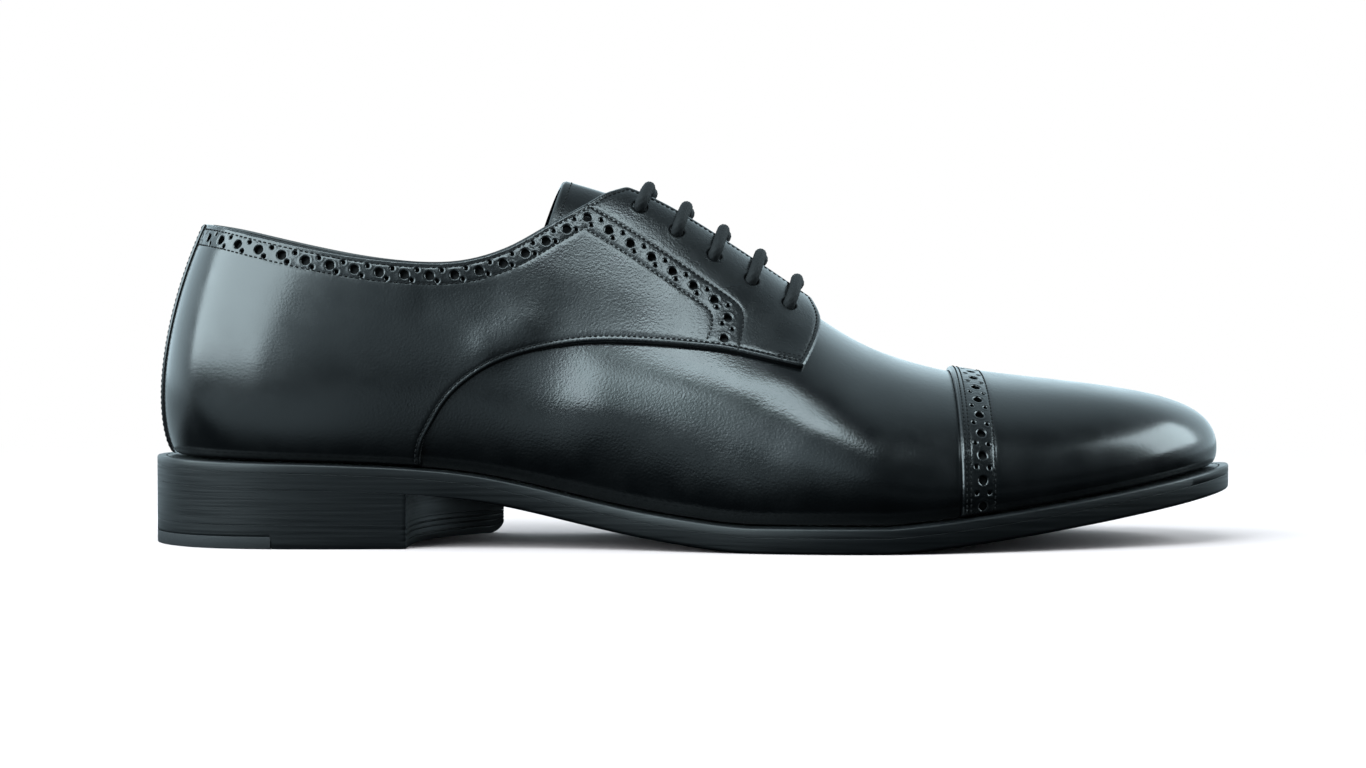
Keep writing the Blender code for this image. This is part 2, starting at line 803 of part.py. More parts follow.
def make_toe_cap(material):
    """Overlay from its straight rear edge round the toe, one row of points for each height."""
    across = np.linspace(-1, 1, 2 * ROWS + 1)
    sides = np.where(across > 0, -1, 1)
    starts = np.array([cap_turn(side, 1 - abs(a)) for side, a in zip(sides, across)])
    columns = half_turns()
    columns = columns[columns > starts.max() + 0.1]
    turns = np.concatenate([[starts], np.repeat(columns[:, None], len(across), axis=1)]) * sides
    shares = np.tile(1 - np.abs(across), (len(turns), 1))
    return patch(
        "toe_cap", turns, shares, level(GAP), level(GAP + OVERLAY), material, joined_end=True
    )


def level(offset):
    return lambda turn, share: np.full(np.shape(turn), float(offset))


def patch(name, turns, shares, inner, outer, material, joined_end=False):
    """A closed piece of the last's form over a grid of turns and shares, between two offsets.

    With joined_end the two halves of the grid's last column are one line and are welded.
    """
    columns, rows = turns.shape
    size = columns * rows
    points = []
    for offset in (outer, inner):
        points.extend(offset_surface(turns, shares, offset(turns, shares)).reshape(-1, 3))
    faces = []
    for j in range(columns - 1):
        for i in range(rows - 1):
            a = j * rows + i
            ring = (a, a + rows, a + rows + 1, a + 1)
            faces.append(ring)
            faces.append(tuple(size + k for k in reversed(ring)))
    last = size - rows
    edges = [(j * rows, (j + 1) * rows) for j in range(columns - 1)]
    edges += [((j + 2) * rows - 1, (j + 1) * rows - 1) for j in range(columns - 1)]
    edges += [(i + 1, i) for i in range(rows - 1)]
    if not joined_end:
        edges += [(last + i, last + i + 1) for i in range(rows - 1)]
    for a, b in edges:
        faces.append((b, a, size + a, size + b))
    return new_object(name, points, faces, material)


def turn_at(station):
    """Turn on the outer side whose section reaches the ridge at a station."""
    turns = np.linspace(0, HALF, 400)
    return np.interp(station, SPINE_X(turns)[0], turns)


def tongue_drop(turn):
    """Depth of the tongue's face under the last's surface, more where it goes under the vamp."""
    return TONGUE_DROP + TONGUE_TUCK * smooth(SPINE_X(turn)[0], *TONGUE_TUCK_SPAN)


def make_tongue(material):
    """Flap under the facings: narrow at the vamp, wide at the top, with a rounded upper edge."""
    across = np.linspace(-1, 1, TONGUE_ROWS)
    lengths = np.linspace(0, 1, TONGUE_COLUMNS)
    back = TONGUE_TOP_X - TONGUE_ROUND * np.abs(across) ** 1.5
    stations = back + lengths[:, None] * (TONGUE_FRONT_X - back)
    low = TONGUE_WING[0] + lengths[:, None] * (TONGUE_WING[1] - TONGUE_WING[0])
    shares = 1 - (1 - low) * np.abs(across)
    turns = turn_at(stations)
    turns = np.where(across > 0, LOOP - turns, turns)
    return patch(
        "tongue",
        turns,
        shares,
        lambda t, s: -tongue_drop(t) - TONGUE_THICK,
        lambda t, s: -tongue_drop(t),
        material,
    )


def make_back_strip(material):
    """Narrow strip sewn over the seam at the back of the heel."""
    base = QUARTER_GAP + OVERLAY + GAP
    across = np.linspace(-STRIP_TURN, STRIP_TURN, 5)
    tops = np.array([collar_share(turn, level(base)) for turn in across])
    shares = tops[:, None] * np.linspace(0, 1, 15)
    turns = np.repeat(across[:, None], 15, axis=1)
    return patch("back_strip", turns, shares, level(base), level(base + STRIP_THICK), material)


def facing_edge(turn, share):
    """Share at which the facing reaches the throat gap, going up from a place on it."""
    shares = np.linspace(share, 1, 200)
    sides = offset_surface(np.full(200, turn), shares, quarter_offsets(turn, shares)[1])[:, 1]
    return float(np.interp(-THROAT_HALF_GAP, -np.abs(sides), shares))


def lace_path(place):
    """Up through the outer eyelet, over both facings and down through the inner one."""
    ends = []
    for inner_side in (False, True):
        turn, share = on_facing(place, inner_side)
        lean = -LACE_LEAN if inner_side else LACE_LEAN
        edge = facing_edge(turn + lean, share)
        points = []
        for along, height in LACE_RISE:
            at_turn, at_share = turn + lean * along, share + (edge - share) * along
            skin = quarter_offsets(at_turn, at_share)[1]
            points.append(offset_surface(np.array(at_turn), np.array(at_share), np.array(skin + height)))
        ends.append(points)
    outer, inner = ends
    middle = (outer[-1] + inner[-1]) / 2 + np.array([0.0, 0.0, LACE_CROWN])
    return [*outer, middle, *inner[::-1]]


def make_laces(material):
    """One straight bar of lace for each pair of eyelets."""
    made = []
    for i, place in enumerate(eyelet_places()):
        points, faces = [], []
        add_tube(points, faces, lace_path(place), LACE_RADIUS, 8)
        made.append(new_object(f"lace_bar_{i + 1}", points, faces, material))
    return made


def main():
    for old in list(bpy.data.objects):
        bpy.data.objects.remove(old)
    shoe = bpy.data.objects.new(SHOE, None)
    shoe.location = -ORIGIN * MM
    bpy.context.scene.collection.objects.link(shoe)
    calf = finish("black_calf", (0.012, 0.014, 0.015), 0.28)
    edge = finish("edge_leather", (0.014, 0.016, 0.017), 0.42)
    rubber = finish("tip_rubber", (0.016, 0.017, 0.018), 0.55)
    lining = finish("insole_leather", (0.02, 0.019, 0.018), 0.7)
    cotton = finish("waxed_cotton", (0.012, 0.013, 0.016), 0.85)
    make_outsole(edge)
    make_welt(edge)
    make_insole(lining)
    make_heel(edge, rubber)
    make_upper(calf)
    make_quarters(calf)
    make_toe_cap(calf)
    make_tongue(calf)
    make_back_strip(calf)
    make_laces(cotton)


main()
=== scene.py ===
"""Looks of a black cap toe derby for the right foot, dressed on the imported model's frame.

Sizes are in millimetres, measured as in the part's source: from the back of the sole (x), the
heel's middle line (y, outer side negative) and the floor (z). new_piece() turns them into metres
in the row frame. The upper's own surface function is repeated here, so that every panel, seam,
hole and stitch lies on the form that the solids have.
"""

from collections import namedtuple
import math

import bmesh
import bpy
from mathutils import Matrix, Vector, kdtree
from mathutils.geometry import delaunay_2d_cdt
import numpy as np


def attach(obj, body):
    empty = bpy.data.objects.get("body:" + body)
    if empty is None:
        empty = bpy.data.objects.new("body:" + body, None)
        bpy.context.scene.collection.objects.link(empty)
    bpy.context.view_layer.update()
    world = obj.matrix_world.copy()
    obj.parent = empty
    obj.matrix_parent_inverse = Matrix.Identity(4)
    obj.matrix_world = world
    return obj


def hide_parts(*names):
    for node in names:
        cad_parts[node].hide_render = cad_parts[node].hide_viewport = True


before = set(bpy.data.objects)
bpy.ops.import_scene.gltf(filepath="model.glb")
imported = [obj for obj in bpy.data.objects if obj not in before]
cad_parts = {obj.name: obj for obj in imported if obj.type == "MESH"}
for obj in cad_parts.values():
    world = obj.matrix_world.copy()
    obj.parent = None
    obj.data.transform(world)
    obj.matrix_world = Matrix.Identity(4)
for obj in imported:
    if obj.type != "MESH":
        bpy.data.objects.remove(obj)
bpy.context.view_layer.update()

MM = 0.001
GAP = 0.3  # clearance kept between pieces that meet

# Sole and heel
SOLE_LENGTH = 306.0
OUTSOLE_THICK = 4.4
WELT_THICK = 2.6
WELT_WIDTH = 13.0
INSOLE_THICK = 2.6
INSOLE_INSET = 2.4
TOP_LIFT_THICK = 6.7
TIP_THICK = 3.4
TIP_LENGTH = 36.0
BREAST_OUTER_X = 73.3
BREAST_OUTER_Y = -34.3
BREAST_INNER_Y = 27.4
BREAST_SWEEP = 24.0
BREAST_CURVE = 3.2
CORNER_CUT = 4.6

# Upper
WALL = 1.8
OVERLAY = 1.4
QUARTER_GAP = 0.4
STRIP_THICK = 0.9
STRIP_TURN = 0.26
FACING_LIFT = 2.4
FACING_SPAN = (100.0, 116.0)
FACING_ROWS = (0.55, 0.85)
CAP_LINE_X = 225.5
TONGUE_DROP = 2.1
TONGUE_THICK = 2.0
TONGUE_TUCK = 1.7
TONGUE_TUCK_SPAN = (156.0, 174.0)
TONGUE_TOP_X = 116.6
TONGUE_ROUND = 9.0
TONGUE_FRONT_X = 188.0
TONGUE_WING = (0.55, 0.68)
THROAT_HALF_GAP = 7.0
THROAT_FROM = 101.5
COLLAR_PAST = 140.0
VAMP_SLOT_HALF = 13.0
VAMP_SLOT_END = 184.5
VAMP_SLOT_TAPER = 26.0
SEAT_SHARE = 0.12

# Laces
EYELETS = 5
EYELET_FIRST = (137.6, 94.8)
EYELET_LAST = (179.4, 67.5)
LACE_RADIUS = 1.72
LACE_LEAN = 0.07
LACE_CROWN = 0.2
LACE_UNDER = 0.045  # share that hidden runs lie nearer the throat
LACE_CLEAR = 0.15  # room between hidden runs and the facing
LACE_RISE = (
    (0.0, -2.9),
    (0.0, 0.0),
    (0.07, 1.1),
    (0.2, 1.7),
    (0.36, 1.8),
    (0.7, 1.8),
    (1.0, 1.7),
)

# One row for each fan section of the last, from the back of the heel to the tip of the toe.
Section = namedtuple(
    "Section", "outer_x outer_y inner_x inner_y spine_x inset outer_bulge inner_bulge rise crown"
)
SECTIONS = (
    Section(0.0, 0.0, 0.0, 0.0, 38.0, 7.0, 12.0, 12.0, 22.5, 0.59),
    Section(5.5, -18.0, 5.5, 18.0, 40.0, 7.0, 11.5, 11.5, 23.5, 0.61),
    Section(19.0, -30.2, 19.0, 30.0, 45.0, 6.9, 10.5, 11.0, 25.0, 0.69),
    Section(39.0, -34.6, 39.0, 34.0, 53.5, 6.8, 9.5, 11.0, 26.0, 0.74),
    Section(63.0, -34.6, 62.5, 32.2, 68.0, 6.7, 9.5, 12.5, 28.0, 0.74),
    Section(87.5, -33.9, 86.0, 28.6, 88.0, 6.5, 10.5, 15.0, 30.0, 0.64),
    Section(112.0, -35.2, 110.0, 26.4, 111.0, 6.3, 12.0, 17.0, 31.0, 0.47),
    Section(137.0, -40.8, 134.0, 28.2, 135.5, 6.4, 12.0, 16.0, 31.0, 0.37),
    Section(162.0, -48.6, 158.5, 34.6, 160.0, 6.8, 11.0, 13.0, 29.0, 0.37),
    Section(187.0, -53.7, 183.5, 42.4, 184.0, 7.0, 9.5, 10.0, 26.0, 0.44),
    Section(211.0, -53.4, 208.5, 48.2, 206.0, 7.0, 8.0, 8.0, 22.0, 0.50),
    Section(234.0, -47.6, 233.0, 48.8, 224.0, 6.8, 6.5, 6.5, 19.0, 0.55),
    Section(256.5, -39.6, 258.0, 46.0, 236.0, 6.5, 5.3, 5.3, 17.2, 0.59),
    Section(278.5, -29.5, 281.0, 37.2, 243.0, 6.2, 5.0, 5.0, 17.0, 0.635),
    Section(296.5, -15.8, 298.5, 23.4, 246.5, 6.0, 5.2, 5.2, 17.3, 0.67),
    Section(306.0, 4.5, 306.0, 4.5, 247.5, 5.9, 5.6, 5.6, 17.6, 0.69),
)
Ridge = namedtuple("Ridge", "station height side")
RIDGE = (
    Ridge(38.0, 114.0, 0.0),
    Ridge(70.0, 114.0, 0.0),
    Ridge(95.0, 111.0, 0.0),
    Ridge(116.0, 104.6, 0.0),
    Ridge(136.0, 98.0, 0.0),
    Ridge(157.0, 85.5, -0.3),
    Ridge(180.0, 69.3, -0.3),
    Ridge(197.0, 58.0, 0.0),
    Ridge(212.0, 51.6, 0.6),
    Ridge(230.0, 47.3, 2.0),
    Ridge(247.5, 45.0, 3.8),
)
Tread = namedtuple("Tread", "station height")
TREAD = (
    Tread(0.0, 17.6),
    Tread(36.0, 16.6),
    Tread(73.0, 15.2),
    Tread(88.0, 13.8),
    Tread(101.0, 11.6),
    Tread(122.0, 6.9),
    Tread(136.0, 4.0),
    Tread(150.0, 1.8),
    Tread(163.0, 0.3),
    Tread(178.0, -0.3),
    Tread(200.0, -0.3),
    Tread(223.0, 1.6),
    Tread(251.0, 5.3),
    Tread(281.0, 10.2),
    Tread(306.0, 14.8),
)
Edge = namedtuple("Edge", "station height")
COLLAR_EDGE = (
    Edge(-12.0, 91.6),
    Edge(13.4, 90.2),
    Edge(29.0, 87.2),
    Edge(46.0, 83.3),
    Edge(63.0, 80.4),
    Edge(79.5, 79.2),
    Edge(91.0, 80.2),
    Edge(101.5, 83.7),
    Edge(111.5, 89.4),
    Edge(123.6, 96.4),
    Edge(128.6, 99.2),
    Edge(136.5, 101.6),
)
VAMP_EDGE = (
    Edge(76.0, 14.0),
    Edge(77.3, 26.7),
    Edge(79.5, 32.4),
    Edge(83.5, 39.4),
    Edge(89.5, 45.8),
    Edge(99.3, 51.6),
    Edge(113.0, 55.7),
    Edge(130.0, 57.4),
    Edge(154.4, 56.0),
    Edge(168.4, 53.6),
    Edge(182.8, 50.2),
)
FACING_FRONT = (
    Edge(182.8, 50.2),
    Edge(186.2, 56.0),
    Edge(188.4, 62.4),
    Edge(187.4, 67.0),
    Edge(184.4, 71.6),
    Edge(179.0, 77.0),
)

# Punched band down the facing: its seam towards the laces and its seam towards the heel.
Band = namedtuple("Band", "lace_x lace_z heel_x heel_z")
FACING_BAND = (
    Band(123.0, 95.2, 123.0, 88.3),
    Band(135.5, 87.8, 133.2, 82.1),
    Band(149.8, 78.4, 145.5, 74.1),
    Band(160.2, 71.2, 153.5, 68.8),
    Band(165.6, 66.6, 157.6, 65.1),
    Band(166.3, 61.4, 157.4, 60.6),
    Band(164.9, 55.2, 155.9, 57.0),
)

# Seams and punched holes
COLLAR_SEAM = 6.2  # from the collar's edge to the lower seam of its band
EDGE_SEAM = 1.5  # from a folded edge to its seam
STITCH_PITCH = 1.55
STITCH_LENGTH = 1.15
STITCH_RADIUS = 0.22
SEAM_DEPTH = 0.16
SEAM_WIDTH = 0.45
COLLAR_HOLES = 3.9  # from the collar's edge to the middle of the large holes
LARGE_HOLE = 1.25  # radius
SMALL_HOLE = 0.58
HOLE_PITCH = 6.8
HOLE_SIDE = 1.5  # small holes, to each side of the row of large ones
HOLE_AHEAD = (0.52, 0.32)  # how far along to the next large hole, upper and lower small hole
RIM_WIDTH = 0.34
RIM_FALL = 0.2
RIM_RAISE = 0.05  # burr round a hole, its distance from the edge and its width
RIM_PAST = 0.55
RIM_SPREAD = 0.3
FOLD_WIDTH = 0.75  # rounding of a folded edge
FOLD_FALL = 0.5
RING_STEPS = (0.17, RIM_WIDTH, 0.62, 0.95)  # mesh rings outside a hole's edge
SEAM_STEPS = (0.0, -0.35, 0.35, -0.75, 0.75)  # mesh rows beside a seam
FOLD_STEPS = (0.2, 0.45, FOLD_WIDTH, 1.1)  # mesh rows inside an edge
FILL_FINE = 0.85  # spacing of the mesh near holes, seams and edges
FILL_NEAR = 3.0
HOLE_ROOM = 0.08  # room kept between mesh points: outside holes, on rings, folds and seams
RING_ROOM = 0.12
FOLD_ROOM = 0.15
SEAM_ROOM = 0.26
SEAM_STEP = 0.5
CAP_SEAMS = (1.1, 2.3, 9.3)  # from the cap's rear edge
CAP_HOLES = 5.8
CAP_PITCH = 7.3
CAP_PAIR = 1.9  # half the distance between the small holes of a pair
EYELET_HOLE = 2.05
STRIP_SEAM = 0.8
BAR_TACK = ((176.1, 54.3), (181.6, 53.0))  # station and height of its ends
BAR_TACK_APART = 0.9
STRIP_ROOM = 0.32  # turn from the heel's middle at which collar seams start
HOLES_FROM = 0.42  # turn from the heel's middle at which the collar's holes start
VAMP_FOOT = 24.5  # height over which the vamp's edge is followed
SEAT_CLEAR = 0.004  # share by which edges keep off a corner
OUTLINE_STEP = 0.7  # spacing of a panel's outline
TIP_STEP = 0.8  # spacing of the cap's outline on the welt

# Soft creases, each along a bent line of stations and heights. depth below zero is a ridge.
Crease = namedtuple("Crease", "line width depth")
CREASES = (
    Crease(((116.0, 65.0), (148.0, 62.5)), 10.0, 0.5),
    Crease(((96.0, 56.0), (106.0, 61.0)), 5.5, -0.9),
    Crease(((80.0, 68.0), (96.0, 72.0)), 6.0, 0.4),
    Crease(((129.0, 41.5), (160.0, 41.0), (178.0, 38.5), (200.0, 24.0)), 13.0, -1.9),
    Crease(((174.0, 41.0), (186.0, 37.0)), 4.5, 0.4),
    Crease(((200.0, 46.0), (212.0, 30.0)), 9.0, 0.3),
)
TUCK = 0.6  # how far the leather turns in where it meets the welt
TUCK_HEIGHT = 3.0

HALF = len(SECTIONS) - 1
LOOP = 2 * HALF
FINE = 1e-3
SECTION_STEPS = 500
CHART_SCALE = np.array([22.0, 100.0])  # rough millimetres for a turn and for a whole section


def natural_slopes(places, values):
    """Slopes of the smooth curve through values at rising places, straight at both ends."""
    count = len(places)
    steps = np.diff(places)
    rises = np.diff(values) / steps
    matrix = np.zeros((count, count))
    right = np.zeros(count)
    matrix[0, :2] = 2, 1
    right[0] = 3 * rises[0]
    matrix[-1, -2:] = 1, 2
    right[-1] = 3 * rises[-1]
    for i in range(1, count - 1):
        matrix[i, i - 1 : i + 2] = steps[i], 2 * (steps[i - 1] + steps[i]), steps[i - 1]
        right[i] = 3 * (steps[i] * rises[i - 1] + steps[i - 1] * rises[i])
    return np.linalg.solve(matrix, right)


def closed_slopes(values):
    """Slopes of the smooth closed curve through values one step apart."""
    count = len(values)
    matrix = 4 * np.eye(count) + np.roll(np.eye(count), 1, 1) + np.roll(np.eye(count), -1, 1)
    return np.linalg.solve(matrix, 3 * (np.roll(values, -1) - np.roll(values, 1)))


def hermite(share, step, start, end, start_slope, end_slope):
    """Value and slope between two knots, at a share of the step from the first to the second."""
    rise = end - start
    bend_a = 3 * rise - step * (2 * start_slope + end_slope)
    bend_b = step * (start_slope + end_slope) - 2 * rise
    value = start + share * (step * start_slope + share * (bend_a + share * bend_b))
    slope = (step * start_slope + share * (2 * bend_a + 3 * share * bend_b)) / step
    return value, slope


class Curve:
    """A smooth value along rising places, with straight ends."""

    def __init__(self, places, values):
        self.places = np.array(places, float)
        self.values = np.array(values, float)
        self.slopes = natural_slopes(self.places, self.values)

    def __call__(self, place):
        place = np.asarray(place, float)
        inside = np.clip(place, self.places[0], self.places[-1])
        i = np.clip(np.searchsorted(self.places, inside) - 1, 0, len(self.places) - 2)
        step = self.places[i + 1] - self.places[i]
        value, slope = hermite(
            (inside - self.places[i]) / step,
            step,
            self.values[i],
            self.values[i + 1],
            self.slopes[i],
            self.slopes[i + 1],
        )
        return value + (place - inside) * slope, slope


class Round:
    """A smooth value around the shoe: up the outer side to the toe and back along the inner side."""

    def __init__(self, outer, inner):
        self.values = np.array([*outer, *inner[-2:0:-1]], float)
        self.slopes = closed_slopes(self.values)

    def __call__(self, turn):
        turn = np.asarray(turn, float) % LOOP
        i = np.minimum(turn.astype(int), LOOP - 1)
        j = (i + 1) % LOOP
        return hermite(
            turn - i, 1.0, self.values[i], self.values[j], self.slopes[i], self.slopes[j]
        )


def column(name):
    return [getattr(section, name) for section in SECTIONS]


EDGE_X = Round(column("outer_x"), column("inner_x"))
EDGE_Y = Round(column("outer_y"), column("inner_y"))
SPINE_X = Round(column("spine_x"), column("spine_x"))
INSET = Round(column("inset"), column("inset"))
BULGE = Round(column("outer_bulge"), column("inner_bulge"))
RISE = Round(column("rise"), column("rise"))
CROWN = Round(column("crown"), column("crown"))
RIDGE_Z = Curve([r.station for r in RIDGE], [r.height for r in RIDGE])
RIDGE_Y = Curve([r.station for r in RIDGE], [r.side for r in RIDGE])
TREAD_Z = Curve([t.station for t in TREAD], [t.height for t in TREAD])


def tread_height(station):
    return np.maximum(TREAD_Z(station)[0], 0.0)


def outsole_top(station):
    return tread_height(station) + OUTSOLE_THICK


def welt_top(station):
    return outsole_top(station) + GAP + WELT_THICK


def sole_edge(turn, inset=0.0):
    """Points around the sole's edge seen from above, moved in by an inset."""
    x, dx = EDGE_X(turn)
    y, dy = EDGE_Y(turn)
    size = np.hypot(dx, dy)
    return x - inset * dy / size, y + inset * dx / size


def last_surface(turn, share):
    """The upper's outer face: around the shoe by turn, and from seat to ridge by share."""
    turn, share = np.broadcast_arrays(np.asarray(turn, float), np.asarray(share, float))
    seat_x, seat_y = sole_edge(turn, INSET(turn)[0])
    seat_z = welt_top(seat_x) + GAP
    ridge_x = SPINE_X(turn)[0]
    ridge_y = RIDGE_Y(ridge_x)[0]
    ridge_z, ridge_slope = RIDGE_Z(ridge_x)
    reach_x, reach_y = seat_x - ridge_x, seat_y - ridge_y
    reach = np.hypot(reach_x, reach_y)
    bulge = BULGE(turn)[0] / reach
    crown = CROWN(turn)[0]
    seat = np.stack([seat_x, seat_y, seat_z], -1)
    side = np.stack(
        [seat_x + bulge * reach_x, seat_y + bulge * reach_y, seat_z + RISE(turn)[0]], -1
    )
    top = np.stack(
        [
            ridge_x + crown * reach_x,
            ridge_y + crown * reach_y,
            ridge_z + ridge_slope * crown * reach_x,
        ],
        -1,
    )
    ridge = np.stack([ridge_x, ridge_y, ridge_z], -1)
    t = share[..., None]
    return (
        (1 - t) ** 3 * seat + 3 * (1 - t) ** 2 * t * side + 3 * (1 - t) * t**2 * top + t**3 * ridge
    )


def last_normal(turn, share):
    """Outward direction of the last's surface, level at the seat so that edges stay on the welt."""
    turn = np.asarray(turn, float)
    share = np.clip(np.asarray(share, float), FINE, 1 - 2 * FINE)
    along = last_surface(turn + FINE, share) - last_surface(turn - FINE, share)
    up = last_surface(turn, share + FINE) - last_surface(turn, share - FINE)
    out = unit(np.cross(along, up))
    out[..., 2] *= np.clip(share / SEAT_SHARE, 0, 1)
    return unit(out)


def smooth(value, low, high):
    share = np.clip((value - low) / (high - low), 0, 1)
    return share * share * (3 - 2 * share)


def unit(ways):
    return ways / np.linalg.norm(ways, axis=-1, keepdims=True)


def gone_along(points):
    """Length gone at each point of a line."""
    return np.concatenate([[0], np.cumsum(np.linalg.norm(np.diff(points, axis=0), axis=1))])


def at_lengths(stops, gone, values):
    """A line's values where it has gone the lengths in stops."""
    return np.stack([np.interp(stops, gone, column) for column in values.T], -1)


def offset_surface(turn, share, offset):
    """Points at an offset from the last, with lower edges following the slope of the welt."""
    base = last_surface(turn, share)
    points = base + last_normal(turn, share) * np.asarray(offset, float)[..., None]
    near_seat = np.clip(1 - np.asarray(share) / SEAT_SHARE, 0, 1)
    points[..., 2] += near_seat * (welt_top(points[..., 0]) - welt_top(base[..., 0]))
    return points


EDGE_LOOP = sole_edge(np.arange(0, LOOP, 0.02))
ORIGIN = np.array([SOLE_LENGTH / 2, (EDGE_LOOP[1].min() + EDGE_LOOP[1].max()) / 2, 0.0])


def level(offset):
    return lambda turn, share: np.full(np.broadcast(turn, share).shape, float(offset))


def facing_lift(turn, share):
    """How far the facings rise off the tongue, growing towards the throat."""
    station = SPINE_X(turn)[0]
    return FACING_LIFT * smooth(station, *FACING_SPAN) * smooth(share, *FACING_ROWS)


def quarter_low(turn, share):
    return QUARTER_GAP + facing_lift(turn, share)


def quarter_high(turn, share):
    return QUARTER_GAP + OVERLAY + facing_lift(turn, share)


def edge_line(edges, steps):
    """Stations and heights along a smooth curve through an edge's rows."""
    knots = np.arange(len(edges))
    places = np.linspace(0, len(edges) - 1, steps)
    return np.stack([Curve(knots, column)(places)[0] for column in zip(*edges)])


COLLAR_LINE = edge_line(COLLAR_EDGE, 200)


def first_above(turns, lift, test):
    """For each turn, the share at which a test along the section turns positive, or 1."""
    shares = np.linspace(0, 1, SECTION_STEPS)
    grid_turn, grid_share = np.meshgrid(turns, shares, indexing="ij")
    values = test(offset_surface(grid_turn, grid_share, lift(grid_turn, grid_share)), grid_share)
    above = values > 0
    rows = np.arange(len(turns))
    after = np.argmax(above, axis=1)
    before = np.maximum(after - 1, 0)
    rise = np.where(after > 0, values[rows, after] - values[rows, before], 1.0)
    found = shares[after] - np.where(after > 0, values[rows, after] / rise, 0) * shares[1]
    return np.where(above.any(axis=1), found, 1.0)


def over_collar(points, shares):
    return points[..., 2] - np.interp(points[..., 0], *COLLAR_LINE, right=COLLAR_PAST)


def in_gap(half_gap):
    def test(points, shares):
        return np.where(shares > 0.5, np.reshape(half_gap, (-1, 1)) - np.abs(points[..., 1]), -1.0)

    return test


def upper_tops(turns):
    """Top share of vamp and lining: the collar, then the throat, then closed on the ridge."""
    stations = SPINE_X(turns)[0]
    collar = first_above(turns, level(0), over_collar)
    taper = np.clip((VAMP_SLOT_END - stations) / VAMP_SLOT_TAPER, 0, 1)
    throat = first_above(turns, level(0), in_gap(VAMP_SLOT_HALF * taper))
    tops = np.where(stations < THROAT_FROM, collar, np.minimum(collar, throat))
    return np.where(stations > VAMP_SLOT_END, 1.0, tops)


def quarter_tops(turns):
    """Top share of a quarter: the collar, or the throat where that comes first."""
    collar = first_above(turns, quarter_high, over_collar)
    throat = first_above(turns, quarter_high, in_gap(np.full(len(turns), THROAT_HALF_GAP)))
    return np.where(SPINE_X(turns)[0] < THROAT_FROM, collar, np.minimum(collar, throat))


class Panel:
    """A piece of leather on the last: how its flat chart maps to it, and its two faces."""

    def __init__(self, spot, low, high):
        self.spot = spot
        self.low = low
        self.high = high

    def at(self, chart, low=False):
        turn, share = self.spot(np.asarray(chart, float))
        return offset_surface(turn, share, (self.low if low else self.high)(turn, share))

    def normal(self, chart):
        return last_normal(*self.spot(np.asarray(chart, float)))

    def move(self, chart, step):
        """Chart step for a step in millimetres along the surface."""
        across, up = np.array([FINE, 0]), np.array([0, FINE])
        by_u = (self.at(chart + across) - self.at(chart - across)) / (2 * FINE)
        by_v = (self.at(chart + up) - self.at(chart - up)) / (2 * FINE)
        uu, uv, vv = [(a * b).sum(-1) for a, b in ((by_u, by_u), (by_u, by_v), (by_v, by_v))]
        on_u, on_v = (by_u * step).sum(-1), (by_v * step).sum(-1)
        size = uu * vv - uv * uv
        return np.stack([(vv * on_u - uv * on_v) / size, (uu * on_v - uv * on_u) / size], -1)

    def find(self, places, inner_side):
        """Chart places of stations and heights on one side of the shoe."""
        turns = np.linspace(3.5, 10, 120) * (-1 if inner_side else 1)
        grid = np.stack(np.meshgrid(turns, np.linspace(0, 0.96, 120)), -1).reshape(-1, 2)
        away = np.abs(self.at(grid)[:, None, ::2] - places).sum(-1)
        found = grid[np.argmin(away, axis=0)]
        for _ in range(8):
            now = self.at(found)[:, ::2]
            by_turn = (self.at(found + (FINE, 0))[:, ::2] - now) / FINE
            by_share = (self.at(found + (0, FINE))[:, ::2] - now) / FINE
            short = (places - now)[..., None]
            found = found + np.linalg.solve(np.stack([by_turn, by_share], -1), short)[..., 0]
            found[:, 1] = np.clip(found[:, 1], -0.05, 0.97)
        return found


def even(panel, chart, step, closed=False):
    """A chart line's points spread evenly, a step in millimetres apart."""
    if closed:
        chart = np.concatenate([chart, chart[:1]])
    gone = gone_along(panel.at(chart))
    count = max(2, int(round(gone[-1] / step)))
    stops = np.linspace(0, gone[-1], count + 1)
    return at_lengths(stops[:-1] if closed else stops, gone, chart)


def beside(panel, chart, distance, closed=False):
    """A chart line moved to its left by a distance in millimetres."""
    points = panel.at(chart)
    if closed:
        ahead = np.roll(points, -1, axis=0) - np.roll(points, 1, axis=0)
    else:
        ahead = np.gradient(points, axis=0)
    left = unit(np.cross(panel.normal(chart), ahead))
    return chart + panel.move(chart, left * np.reshape(distance, (-1, 1)))


def inset_line(panel, chart, distance, closed=False):
    """A line moved in from an edge, without the loops that it would make at corners."""
    moved = beside(panel, chart, distance, closed)
    tree = tree_of(panel.at(even(panel, chart, 0.3, closed)))
    clear = distances(tree, panel.at(moved)) > 0.95 * abs(distance)
    return moved[clear]


def tree_of(points):
    tree = kdtree.KDTree(len(points))
    for i, point in enumerate(points):
        tree.insert(point, i)
    tree.balance()
    return tree


def distances(tree, points):
    return np.array([tree.find(p)[2] for p in points])


def inside(polygon, points):
    """Which chart points lie in a chart polygon."""
    x, y = points[:, :1], points[:, 1:]
    ax, ay = polygon.T
    bx, by = np.roll(polygon, -1, axis=0).T
    crosses = (ay > y) != (by > y)
    with np.errstate(divide="ignore", invalid="ignore"):
        at_x = ax + (y - ay) * (bx - ax) / (by - ay)
    return (crosses & (x < at_x)).sum(1) % 2 == 1


